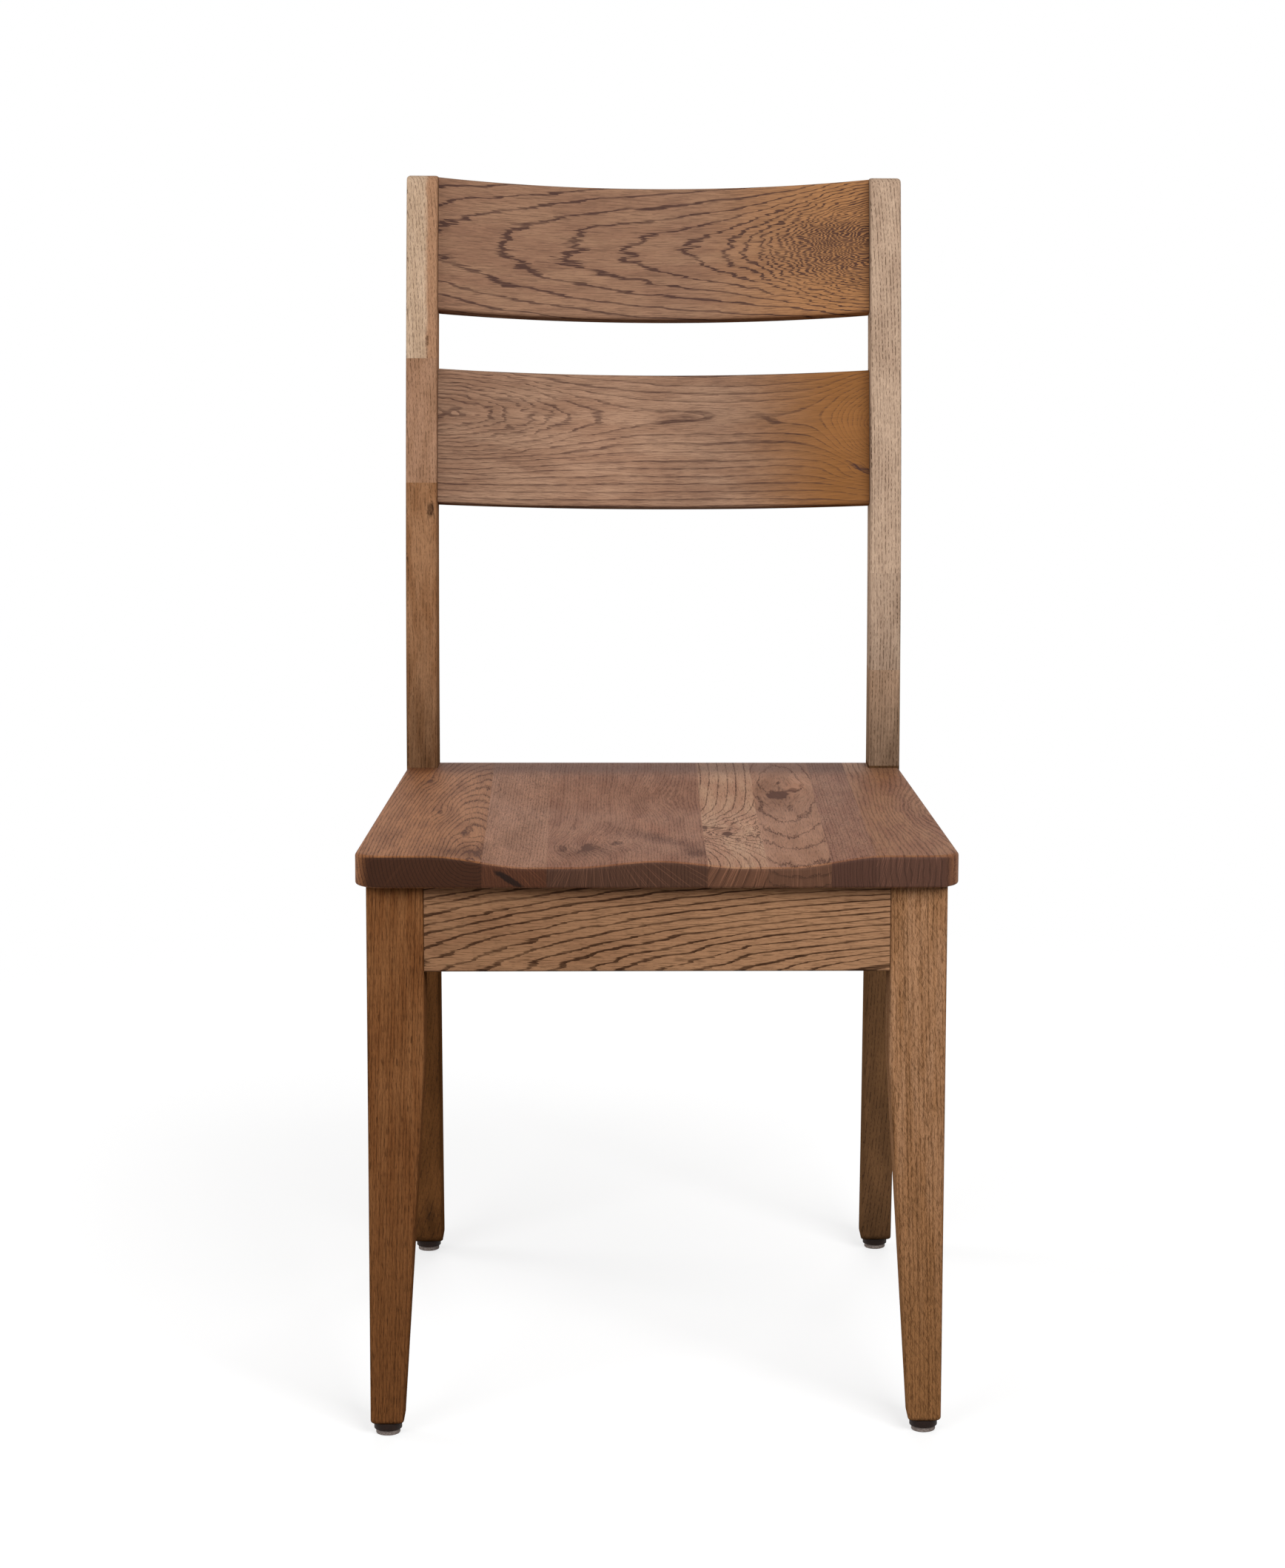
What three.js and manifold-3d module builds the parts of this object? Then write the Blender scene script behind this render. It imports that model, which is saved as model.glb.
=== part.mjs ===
// A solid oak dining chair with a scooped seat glued up from staves and two bent back slats.
// Millimetres, +Z up, +X to the right of someone facing the chair, front towards -Y.
// The pieces are worked out with y = 0 at the front legs' front faces and z = 0 at the floor,
// and the finished chair is then centred over its own footprint box.

import * as THREE from "three";
import { mergeVertices } from "three/addons/utils/BufferGeometryUtils.js";
import Module from "manifold-3d";

const wasm = await Module();
wasm.setup();

// ---------------------------------------------------------------- driving sizes

// Clearances: round a tenon, plug or screw in its hole, and under the seat.
const FIT = 0.3;

// Stance.
const SEAT_HEIGHT = 465; // floor to the seat's top at its flat front corners
const SEAT_FALL = 7; // the seat's top is this much lower at the rear legs
const SEAT_REACH = 441.7; // front legs' front faces to the rear legs' front faces
const BACK_HEIGHT = 980; // floor to the tops of the rear legs
const FRONT_SPREAD = 447.4; // across the outer faces of the front legs
const REAR_SPREAD = 439.2; // across the outer faces of the rear legs
const GLIDE_HEIGHT = 10; // floor to the ends of the legs

// Front legs: square to below the aprons, then tapered on the two inner faces.
const FRONT_LEG = 44;
const FRONT_FOOT = 26;
const TAPER_DROP = 70; // from the aprons' lower edge down to where the taper starts
const LEG_EDGE = 2.5; // rounding of the long edges
const FOOT_EASE = 3.5; // rounding at the end grain of the feet

// Rear legs: sawn from board, upright at the seat, swept back above and below it.
const REAR_LEG_THICK = 27.5;
const REAR_LEG_DEPTH = 42; // front to back, at the seat
const REAR_TOP_DEPTH = 36;
const REAR_FOOT_DEPTH = 35;
const UPRIGHT_MARGIN = 8; // the straight stretch runs this far past the seat and the aprons
const BACK_SWEEP = 60.4; // how far the top of the front edge lies behind the seat joint
const BACK_CURVE = 1.86; // power of the height that the upper sweep grows with
const FOOT_SWEEP = 38.5;
const FOOT_CURVE = 1.4;
const REAR_LEG_CORNER = 7; // easing of the four corners of the sawn outline

// Seat.
const SEAT_THICK = 25;
const SEAT_FRONT_OVERHANG = 14;
const SEAT_SIDE_OVERHANG = 9.2;
const SEAT_REAR_EDGE = 35; // behind the rear legs' front faces
const SEAT_CORNER = 23; // plan radius of the front corners
const SEAT_TOP_EDGE = 3; // rounding along the top
const SEAT_UNDER_EDGE = 2; // rounding along the underside

// Glue lines between the staves, from left to right, at the seat's front edge and rear edge.
const STAVE_FRONT_LINES = [-134.5, -85, 38.2, 84.7, 133.1, 167.3];
const STAVE_REAR_LINES = [-142.5, -92, 38.4, 85.2, 137.5, 170];

// Saddle: two thigh hollows that run out over the front edge, with a low pommel between them,
// and a bowl behind the pommel that dies out before the rear edge.
const HOLLOW_DEPTH = 9;
const HOLLOW_CENTRE = 83; // from the middle of the seat to the middle of a thigh hollow
const HOLLOW_FLAT = 16; // half-width of the hollow's level floor
const HOLLOW_BANK = 76; // width of the bank from the floor out to the level corners
const POMMEL_DEPTH = 4; // the pommel's crest lies this much below the corners
const POMMEL_END = 190; // from the front edge to where the pommel has gone
const BOWL_DEPTH = 11;
const BOWL_FLAT = 78; // half-width of the bowl's floor
const BOWL_BANK = 96;
const SCOOP_FADE_START = 270; // from the front edge
const SCOOP_FADE_END = 440;

// Back slats: bent to a circular arc, leaning with the legs.
const SLAT_HEIGHT = 120;
const SLAT_THICK = 22;
const SLAT_SAG = 44.8; // depth of the bend between the rear legs
const SLAT_SETBACK = 13; // slat face behind the legs' front edge, where they meet
const SLAT_TOP_DROP = 0.5; // the top slat ends this much below the tops of the legs
const SLAT_SPACE = 51.5; // clear height between the two slats
const TOP_SLAT_LEAN = 12.3; // degrees from upright
const LOWER_SLAT_LEAN = 10.2;
const SLAT_EDGE = 3.5; // rounding of the slat's four long edges
const SLAT_TENON_THICK = 10;
const SLAT_TENON_LONG = 13;
const SLAT_TENON_SHOULDER = 9; // shoulder above and below the tenon
const SLAT_OVERRUN = 6; // a bent blank runs this far past its shoulders before it is trimmed

// Aprons.
const APRON_HEIGHT = 68;
const APRON_THICK = 22;
const REAR_APRON_THICK = 20;
const APRON_SETBACK = 1.5; // aprons lie this far inside the legs' outer faces
const REAR_APRON_INSET = 8; // behind the rear legs' front faces
const APRON_EDGE = 2;
const TENON_THICK = 9;
const TENON_SHOULDER = 9; // shoulder above and below the tenon
const FRONT_TENON_LONG = 20; // into a front leg
const REAR_TENON_LONG = 12; // into a rear leg

// Corner blocks under the seat, and the screws through them.
const BLOCK_THICK = 24;
const BLOCK_ARM = 48; // along each apron, from the leg
const BLOCK_END = 12; // width of a block's blunt ends
const SEAT_SCREW_ALONG = 34; // from the leg, along the cross apron
const SEAT_SCREW_IN = 10; // from the cross apron's face
const SEAT_SCREW_LONG = 36;
const BLOCK_SCREW_LONG = 50;
const SCREW_RADIUS = 2;
const SCREW_HEAD_RADIUS = 4;
const SCREW_HEAD_HEIGHT = 2.8;
const SCREW_TIP = 5;

// Nail-on glides: a plastic cup, the nail through it and a felt pad that covers the nail's head.
const CUP_RADIUS = 11;
const CUP_HEIGHT = 6;
const CUP_WALL = 1.2; // round the pad
const CUP_EDGE = 1.5;
const PAD_SUNK = 2; // depth of pad held inside the cup
const NAIL_RADIUS = 1.3;
const NAIL_HEAD_RADIUS = 4;
const NAIL_HEAD_HEIGHT = 1.2;
const NAIL_LONG = 22; // below the head
const NAIL_POINT = 4;

// How finely curves are drawn.
const CORNER_STEPS = 3;
const ROUND_STEPS = 20;
const SCREW_STEPS = 12;
const LEG_STEPS = 11; // for each sweep of a rear leg
const SLAT_STEPS = 22;
const SEAT_ROWS = 15;
const STAVE_COLUMN = 17; // widest column of a stave's grid

// ---------------------------------------------------------------- worked-out places

const SEAT_FRONT = -SEAT_FRONT_OVERHANG;
const SEAT_BACK = SEAT_REACH + SEAT_REAR_EDGE;
const SEAT_SLOPE = SEAT_FALL / (SEAT_REACH - SEAT_FRONT);
const REAR_OUTER = REAR_SPREAD / 2;
const REAR_INNER = REAR_OUTER - REAR_LEG_THICK;
const FRONT_OUTER = FRONT_SPREAD / 2;
const FRONT_INNER = FRONT_OUTER - FRONT_LEG;
const APRON_FACE = APRON_SETBACK + APRON_THICK; // inner face of the front apron
const REAR_APRON_FACE = SEAT_REACH + REAR_APRON_INSET; // its front face

const seatPlane = (y) => SEAT_HEIGHT - SEAT_SLOPE * (y - SEAT_FRONT);
const underside = (y) => seatPlane(y) - SEAT_THICK;
const apronTop = (y) => underside(y) - FIT;
const apronBottom = (y) => apronTop(y) - APRON_HEIGHT;
const UPRIGHT_LOW = apronBottom(SEAT_REACH) - UPRIGHT_MARGIN;
const UPRIGHT_HIGH = seatPlane(SEAT_REACH) + UPRIGHT_MARGIN;

// Outer face of a side apron: a straight line from front leg to rear leg.
const sideApronOuter = (y) => {
  const along = (y - FRONT_LEG) / (SEAT_REACH - FRONT_LEG);
  return FRONT_OUTER - APRON_SETBACK + along * (REAR_OUTER - FRONT_OUTER);
};
const sideApronInner = (y) => sideApronOuter(y) - APRON_THICK;

// Front edge of a rear leg seen from the side, and its depth, both by height.
function rearLegFront(z) {
  if (z > UPRIGHT_HIGH) {
    const rise = (z - UPRIGHT_HIGH) / (BACK_HEIGHT - UPRIGHT_HIGH);
    return SEAT_REACH + BACK_SWEEP * rise ** BACK_CURVE;
  }
  if (z < UPRIGHT_LOW) {
    const fall = (UPRIGHT_LOW - z) / (UPRIGHT_LOW - GLIDE_HEIGHT);
    return SEAT_REACH + FOOT_SWEEP * fall ** FOOT_CURVE;
  }
  return SEAT_REACH;
}

function rearLegDepth(z) {
  if (z > UPRIGHT_HIGH) {
    const rise = (z - UPRIGHT_HIGH) / (BACK_HEIGHT - UPRIGHT_HIGH);
    return REAR_LEG_DEPTH + (REAR_TOP_DEPTH - REAR_LEG_DEPTH) * rise;
  }
  if (z < UPRIGHT_LOW) {
    const fall = (UPRIGHT_LOW - z) / (UPRIGHT_LOW - GLIDE_HEIGHT);
    return REAR_LEG_DEPTH + (REAR_FOOT_DEPTH - REAR_LEG_DEPTH) * fall;
  }
  return REAR_LEG_DEPTH;
}

// ---------------------------------------------------------------- materials

const oak = (color) => new THREE.MeshStandardMaterial({ color, roughness: 0.55, metalness: 0 });
const LEG_OAK = oak(0x8a5f3f);
const SEAT_OAK = oak(0x8d6550);
const SLAT_OAK = oak(0x9a6d49);
const BLOCK_OAK = oak(0xa98456);
const PLASTIC = new THREE.MeshStandardMaterial({ color: 0x2e211a, roughness: 0.5, metalness: 0 });
const FELT = new THREE.MeshStandardMaterial({ color: 0x77706a, roughness: 0.95, metalness: 0 });
const STEEL = new THREE.MeshStandardMaterial({ color: 0xb9bcc0, roughness: 0.35, metalness: 1 });

// ---------------------------------------------------------------- geometry helpers

// A closed three.js geometry as a solid that can be cut and joined.
function solidOf(geometry) {
  const bare = new THREE.BufferGeometry();
  bare.setAttribute("position", geometry.getAttribute("position"));
  bare.setIndex(geometry.index);
  const merged = mergeVertices(bare, 1e-4);
  const vertProperties = new Float32Array(merged.getAttribute("position").array);
  const triVerts = new Uint32Array(merged.index.array);
  return new wasm.Manifold(new wasm.Mesh({ numProp: 3, vertProperties, triVerts }));
}

function geometryOf(solid) {
  const { vertProperties, triVerts } = solid.getMesh();
  const geometry = new THREE.BufferGeometry();
  geometry.setAttribute("position", new THREE.BufferAttribute(vertProperties, 3));
  geometry.setIndex(new THREE.BufferAttribute(triVerts, 1));
  return geometry;
}

const cut = (geometry, tools) =>
  geometryOf(tools.reduce((left, tool) => left.subtract(solidOf(tool)), solidOf(geometry)));
const join = (geometry, others) =>
  geometryOf(others.reduce((whole, other) => whole.add(solidOf(other)), solidOf(geometry)));
const common = (geometry, other) => geometryOf(solidOf(geometry).intersect(solidOf(other)));

// Triangles over a list of points; each face is a list of point numbers, split as a fan.
function faceted(points, faces) {
  const geometry = new THREE.BufferGeometry().setFromPoints(points);
  const fans = faces.flatMap((face) =>
    face.slice(2).flatMap((corner, i) => [face[0], face[i + 1], corner]));
  geometry.setIndex(fans);
  return geometry;
}

// Skin over closed rings of equal length, each convex and anticlockwise about the way from the
// first ring to the last, with a flat fan over both ends.
function loft(rings) {
  const count = rings[0].length;
  const points = rings.flat();
  const faces = [];
  for (let ring = 0; ring + 1 < rings.length; ring += 1) {
    for (let i = 0; i < count; i += 1) {
      const low = ring * count;
      const next = (i + 1) % count;
      faces.push([low + i, low + next, low + count + next, low + count + i]);
    }
  }
  const last = (rings.length - 1) * count;
  const around = [...Array(count).keys()];
  faces.push(around.map((i) => count - 1 - i));
  faces.push(around.map((i) => last + i));
  return faceted(points, faces);
}

// Closed body between two grids of points that share one layout: rows from front to back,
// columns from left to right, the first grid on top.
function slab(top, under) {
  const rows = top.length;
  const columns = top[0].length;
  const points = [...top.flat(), ...under.flat()];
  const up = (row, column) => row * columns + column;
  const down = (row, column) => rows * columns + up(row, column);
  const faces = [];
  for (let row = 0; row + 1 < rows; row += 1) {
    for (let column = 0; column + 1 < columns; column += 1) {
      const quad = [[row, column], [row, column + 1], [row + 1, column + 1], [row + 1, column]];
      faces.push(quad.map(([r, c]) => up(r, c)));
      faces.push(quad.reverse().map(([r, c]) => down(r, c)));
    }
  }
  const wall = (from, to) =>
    faces.push([up(...to), up(...from), down(...from), down(...to)]);
  for (let column = 0; column + 1 < columns; column += 1) {
    wall([0, column], [0, column + 1]);
    wall([rows - 1, column + 1], [rows - 1, column]);
  }
  for (let row = 0; row + 1 < rows; row += 1) {
    wall([row + 1, 0], [row, 0]);
    wall([row, columns - 1], [row + 1, columns - 1]);
  }
  return faceted(points, faces);
}

// Upright prism over a flat outline, with its lower and upper ends given as heights by y.
function prism(outline, low, high) {
  const ring = THREE.ShapeUtils.isClockWise(outline) ? [...outline].reverse() : outline;
  const count = ring.length;
  const points = [low, high].flatMap((height) =>
    ring.map((p) => new THREE.Vector3(p.x, p.y, height(p.y))));
  const faces = ring.map((_, i) => [i, (i + 1) % count, count + ((i + 1) % count), count + i]);
  for (const [a, b, c] of THREE.ShapeUtils.triangulateShape(ring, [])) {
    faces.push([c, b, a], [count + a, count + b, count + c]);
  }
  return faceted(points, faces);
}

// Outline with some of its corners rounded: each corner is [x, y] or [x, y, radius].
function rounded(corners) {
  const at = (i) => {
    const [x, y] = corners[(i + corners.length) % corners.length];
    return new THREE.Vector2(x, y);
  };
  return corners.flatMap(([, , radius], i) => {
    const corner = at(i);
    if (!radius) return [corner];
    const toLast = at(i - 1).sub(corner).setLength(radius);
    const toNext = at(i + 1).sub(corner).setLength(radius);
    const start = corner.clone().add(toLast);
    const end = corner.clone().add(toNext);
    return new THREE.QuadraticBezierCurve(start, corner, end).getPoints(CORNER_STEPS);
  });
}

// Rectangle with rounded corners as anticlockwise [u, v] pairs.
function roundedRectangle(u0, u1, v0, v1, radius) {
  const corners = [[u0, v0, radius], [u1, v0, radius], [u1, v1, radius], [u0, v1, radius]];
  return rounded(corners).map((p) => [p.x, p.y]);
}

function box([x0, y0, z0], [x1, y1, z1]) {
  const geometry = new THREE.BoxGeometry(x1 - x0, y1 - y0, z1 - z0);
  return geometry.translate((x0 + x1) / 2, (y0 + y1) / 2, (z0 + z1) / 2);
}

// Body of revolution about +Z from [radius, height] pairs, its lower end first.
function turned(profile, steps = ROUND_STEPS) {
  const points = profile.map(([radius, height]) => new THREE.Vector2(radius, height));
  return new THREE.LatheGeometry(points, steps).rotateX(Math.PI / 2);
}

const rod = (radius, low, high) =>
  turned([[0, low], [radius, low], [radius, high], [0, high]]);

// Moves something made along +Z to start at a place and point along a direction.
function aimed(geometry, place, direction) {
  const up = new THREE.Vector3(0, 0, 1);
  const turn = new THREE.Quaternion().setFromUnitVectors(up, direction.clone().normalize());
  return geometry.applyQuaternion(turn).translate(place.x, place.y, place.z);
}

// The piece as made for the right-hand side, or its mirror image for the left.
const mirrored = (geometry, side) =>
  side > 0 ? geometry : geometryOf(solidOf(geometry).mirror([1, 0, 0]));

// ---------------------------------------------------------------- feet

// Centre of the glide under each leg of the right-hand side.
const FRONT_GLIDE = new THREE.Vector2(FRONT_OUTER - FRONT_FOOT / 2, FRONT_FOOT / 2);
const REAR_GLIDE = new THREE.Vector2(
  REAR_OUTER - REAR_LEG_THICK / 2,
  rearLegFront(GLIDE_HEIGHT) + rearLegDepth(GLIDE_HEIGHT) / 2,
);
const CUP_BOTTOM = GLIDE_HEIGHT - CUP_HEIGHT;
const PAD_TOP = CUP_BOTTOM + PAD_SUNK;
const NAIL_HEAD_BOTTOM = PAD_TOP + FIT;
const NAIL_HEAD_TOP = NAIL_HEAD_BOTTOM + NAIL_HEAD_HEIGHT;

function glideCup() {
  const recess = CUP_RADIUS - CUP_WALL;
  const headRecess = NAIL_HEAD_RADIUS + FIT;
  const hole = NAIL_RADIUS + FIT;
  return turned([
    [hole, NAIL_HEAD_TOP + FIT],
    [headRecess, NAIL_HEAD_TOP + FIT],
    [headRecess, PAD_TOP + FIT],
    [recess, PAD_TOP + FIT],
    [recess, CUP_BOTTOM],
    [CUP_RADIUS - CUP_EDGE / 2, CUP_BOTTOM],
    [CUP_RADIUS, CUP_BOTTOM + CUP_EDGE],
    [CUP_RADIUS, GLIDE_HEIGHT - FIT],
    [hole, GLIDE_HEIGHT - FIT],
    [hole, NAIL_HEAD_TOP + FIT],
  ]);
}

const feltPad = () => rod(CUP_RADIUS - CUP_WALL - FIT, 0, PAD_TOP);

function glideNail() {
  const tip = NAIL_HEAD_TOP + NAIL_LONG;
  return turned([
    [0, NAIL_HEAD_BOTTOM],
    [NAIL_HEAD_RADIUS, NAIL_HEAD_BOTTOM],
    [NAIL_HEAD_RADIUS, NAIL_HEAD_TOP],
    [NAIL_RADIUS, NAIL_HEAD_TOP],
    [NAIL_RADIUS, tip - NAIL_POINT],
    [0, tip],
  ]);
}

// Hole that the nail makes in the end of a leg.
const nailHole = (at) =>
  rod(NAIL_RADIUS + FIT, 0, NAIL_HEAD_TOP + NAIL_LONG + FIT).translate(at.x, at.y, 0);

// ---------------------------------------------------------------- tenons

// Block of a tenon that leaves an apron's end along x or y; grown by a clearance it is the mortise.
const grow = (low, high, by) => box(low.map((v) => v - by), high.map((v) => v + by));

// Front apron into the right-hand front leg. The root lies inside the apron.
function frontTenon(root, by) {
  const y = APRON_SETBACK + (APRON_THICK - TENON_THICK) / 2;
  const low = [FRONT_INNER - root, y, apronBottom(y) + TENON_SHOULDER];
  const high = [FRONT_INNER + FRONT_TENON_LONG, y + TENON_THICK, apronTop(y) - TENON_SHOULDER];
  return grow(low, high, by);
}

// Right-hand side apron into its front leg, and into its rear leg.
function sideTenon(atFront, root, by) {
  const face = atFront ? FRONT_LEG : SEAT_REACH;
  const reach = atFront ? -FRONT_TENON_LONG : REAR_TENON_LONG;
  const ends = [face - Math.sign(reach) * root, face + reach].sort((a, b) => a - b);
  const x = sideApronInner(face) + (APRON_THICK - TENON_THICK) / 2;
  const low = [x, ends[0], apronBottom(face) + TENON_SHOULDER];
  const high = [x + TENON_THICK, ends[1], apronTop(face) - TENON_SHOULDER];
  return grow(low, high, by);
}

// Rear apron into the right-hand rear leg. It lies towards the back, clear of the side tenon.
function rearTenon(root, by) {
  const y1 = REAR_APRON_FACE + REAR_APRON_THICK - TENON_SHOULDER / 2;
  const y0 = y1 - TENON_THICK;
  const low = [REAR_INNER - root, y0, apronBottom(y0) + TENON_SHOULDER];
  const high = [REAR_INNER + REAR_TENON_LONG, y1, apronTop(y1) - TENON_SHOULDER];
  return grow(low, high, by);
}

// ---------------------------------------------------------------- back slats

// A slat stands in its own leaning frame: x across, b backwards square to it, h up along it.
function slatFrame(centreHeight, lean) {
  const angle = THREE.MathUtils.degToRad(lean);
  const across = new THREE.Vector3(1, 0, 0);
  const backwards = new THREE.Vector3(0, Math.cos(angle), -Math.sin(angle));
  const upwards = new THREE.Vector3(0, Math.sin(angle), Math.cos(angle));
  const place = new THREE.Matrix4().makeBasis(across, backwards, upwards);
  return place.setPosition(0, rearLegFront(centreHeight) + SLAT_SETBACK, centreHeight);
}

// Centre height of a slat whose upper front edge is to end at the given height.
const slatCentre = (topEdge, lean) =>
  topEdge - (SLAT_HEIGHT / 2) * Math.cos(THREE.MathUtils.degToRad(lean));

const TOP_SLAT_CENTRE = slatCentre(BACK_HEIGHT - SLAT_TOP_DROP, TOP_SLAT_LEAN);
const TOP_SLAT_FOOT = 2 * TOP_SLAT_CENTRE - (BACK_HEIGHT - SLAT_TOP_DROP);
const LOWER_SLAT_CENTRE = slatCentre(TOP_SLAT_FOOT - SLAT_SPACE, LOWER_SLAT_LEAN);
const SLAT_FRAMES = {
  top_slat: slatFrame(TOP_SLAT_CENTRE, TOP_SLAT_LEAN),
  lower_slat: slatFrame(LOWER_SLAT_CENTRE, LOWER_SLAT_LEAN),
};

// Front face: an arc through the two leg faces whose middle lies SLAT_SAG behind them.
const SLAT_BEND = (REAR_INNER ** 2 + SLAT_SAG ** 2) / (2 * SLAT_SAG);
const SLAT_CHORD = SLAT_BEND - SLAT_SAG; // from the bend's centre to the chord
const SLAT_HALF = SLAT_HEIGHT / 2;

function slatTenon(side, root, by) {
  const backAtEnd = Math.sqrt((SLAT_BEND + SLAT_THICK) ** 2 - REAR_INNER ** 2) - SLAT_CHORD;
  const half = SLAT_TENON_THICK / 2;
  const tall = SLAT_HALF - SLAT_TENON_SHOULDER;
  const ends = [REAR_INNER - root, REAR_INNER + SLAT_TENON_LONG].map((x) => side * x);
  ends.sort((a, b) => a - b);
  return grow([ends[0], backAtEnd / 2 - half, -tall], [ends[1], backAtEnd / 2 + half, tall], by);
}

function slat(frame) {
  const section = roundedRectangle(0, SLAT_THICK, -SLAT_HALF, SLAT_HALF, SLAT_EDGE);
  const reach = Math.asin((REAR_INNER + SLAT_OVERRUN) / SLAT_BEND);
  const rings = [];
  for (let i = 0; i <= SLAT_STEPS; i += 1) {
    const angle = reach * ((2 * i) / SLAT_STEPS - 1);
    rings.push(section.map(([depth, height]) => new THREE.Vector3(
      (SLAT_BEND + depth) * Math.sin(angle),
      (SLAT_BEND + depth) * Math.cos(angle) - SLAT_CHORD,
      height,
    )));
  }
  const far = SLAT_BEND;
  const shoulder = REAR_INNER - FIT;
  const between = box([-shoulder, -far, -far], [shoulder, far, far]);
  const tenons = [-1, 1].map((side) => slatTenon(side, SLAT_THICK / 2, 0));
  return join(common(loft(rings), between), tenons).applyMatrix4(frame);
}

const slatMortises = (side) =>
  Object.values(SLAT_FRAMES).map((frame) => slatTenon(side, 1, FIT).applyMatrix4(frame));

// ---------------------------------------------------------------- legs

// Right-hand front leg: sections stay flush outside and in front while the inner faces taper.
function frontLeg() {
  const taperStart = apronBottom(0) - TAPER_DROP;
  const ring = (height, size, ease) =>
    roundedRectangle(FRONT_OUTER - size + ease, FRONT_OUTER - ease, ease, size - ease, LEG_EDGE)
      .map(([x, y]) => new THREE.Vector3(x, y, height(y)));
  const sizeAt = (z) =>
    FRONT_FOOT + ((FRONT_LEG - FRONT_FOOT) * (z - GLIDE_HEIGHT)) / (taperStart - GLIDE_HEIGHT);
  const level = (z, ease) => ring(() => z, Math.min(FRONT_LEG, sizeAt(z)), ease);
  return loft([
    level(GLIDE_HEIGHT, FOOT_EASE),
    level(GLIDE_HEIGHT + FOOT_EASE / 3, FOOT_EASE / 3),
    level(GLIDE_HEIGHT + FOOT_EASE, 0),
    level(taperStart, 0),
    ring(apronTop, FRONT_LEG, 0),
  ]);
}

// Rear leg as sawn: its side outline, given the board's thickness with rounded edges.
function rearLeg() {
  const heights = [];
  for (let i = 0; i <= LEG_STEPS; i += 1) {
    heights.push(GLIDE_HEIGHT + ((UPRIGHT_LOW - GLIDE_HEIGHT) * i) / LEG_STEPS);
  }
  for (let i = 0; i <= LEG_STEPS; i += 1) {
    heights.push(UPRIGHT_HIGH + ((BACK_HEIGHT - UPRIGHT_HIGH) * i) / LEG_STEPS);
  }
  const corner = (z) => (z === GLIDE_HEIGHT || z === BACK_HEIGHT ? REAR_LEG_CORNER : 0);
  const back = heights.map((z) => [rearLegFront(z) + rearLegDepth(z), z, corner(z)]);
  const front = heights.map((z) => [rearLegFront(z), z, corner(z)]).reverse();
  const blank = new THREE.ExtrudeGeometry(new THREE.Shape(rounded([...back, ...front])), {
    depth: REAR_LEG_THICK - 2 * LEG_EDGE,
    bevelThickness: LEG_EDGE,
    bevelSize: LEG_EDGE,
    bevelOffset: -LEG_EDGE,
    bevelSegments: 2,
  });
  const sideways = new THREE.Matrix4().makeBasis(
    new THREE.Vector3(0, 1, 0), new THREE.Vector3(0, 0, 1), new THREE.Vector3(1, 0, 0));
  return blank.applyMatrix4(sideways).translate(REAR_INNER + LEG_EDGE, 0, 0);
}

// ---------------------------------------------------------------- seat

const SIDE_TAPER = (FRONT_OUTER + SEAT_SIDE_OVERHANG - REAR_OUTER) / (SEAT_REACH - SEAT_FRONT);
const seatSide = (y) => FRONT_OUTER + SEAT_SIDE_OVERHANG - SIDE_TAPER * (y - SEAT_FRONT);
const SIDE_COSINE = 1 / Math.hypot(1, SIDE_TAPER);
const CORNER_Y = SEAT_FRONT + SEAT_CORNER;
const CORNER_X = seatSide(CORNER_Y) - SEAT_CORNER / SIDE_COSINE;

// Half-width of the seat at y, round the front corner and along the straight side.
function seatHalf(y) {
  const ahead = CORNER_Y - y;
  if (ahead <= 0) return seatSide(y);
  return Math.min(seatSide(y), CORNER_X + Math.sqrt(SEAT_CORNER ** 2 - ahead ** 2));
}

// Distance from a point of the seat in to its nearest outer edge.
function edgeDistance(x, y) {
  const beside = (seatSide(y) - Math.abs(x)) * SIDE_COSINE;
  const distances = [y - SEAT_FRONT, SEAT_BACK - y, beside];
  if (Math.abs(x) > CORNER_X && y < CORNER_Y) {
    distances.push(SEAT_CORNER - Math.hypot(Math.abs(x) - CORNER_X, y - CORNER_Y));
  }
  return Math.max(0, Math.min(...distances));
}

// Fall of a rounded edge at a distance from it.
function edgeFall(distance, radius) {
  const short = Math.max(0, radius - distance);
  return radius - Math.sqrt(radius ** 2 - short ** 2);
}

const { smoothstep } = THREE.MathUtils;

// Depth of the saddle at a point.
function scoop(x, y) {
  const run = y - SEAT_FRONT;
  const out = Math.abs(x) - HOLLOW_CENTRE;
  const inner = HOLLOW_CENTRE - HOLLOW_FLAT;
  const bank = 1 - smoothstep(out, HOLLOW_FLAT, HOLLOW_FLAT + HOLLOW_BANK);
  const crest = 1 - smoothstep(Math.abs(x), 0, inner);
  const front = bank * (HOLLOW_DEPTH - (HOLLOW_DEPTH - POMMEL_DEPTH) * crest);
  const bowl = BOWL_DEPTH * (1 - smoothstep(Math.abs(x), BOWL_FLAT, BOWL_FLAT + BOWL_BANK));
  const toBowl = smoothstep(run, 0, POMMEL_END);
  const fade = 1 - smoothstep(run, SCOOP_FADE_START, SCOOP_FADE_END);
  return (front * (1 - toBowl) + bowl * toBowl) * fade;
}

function seatTop(x, y) {
  return seatPlane(y) - scoop(x, y) - edgeFall(edgeDistance(x, y), SEAT_TOP_EDGE);
}

function seatUnder(x, y) {
  return underside(y) + edgeFall(edgeDistance(x, y), SEAT_UNDER_EDGE);
}

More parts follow.
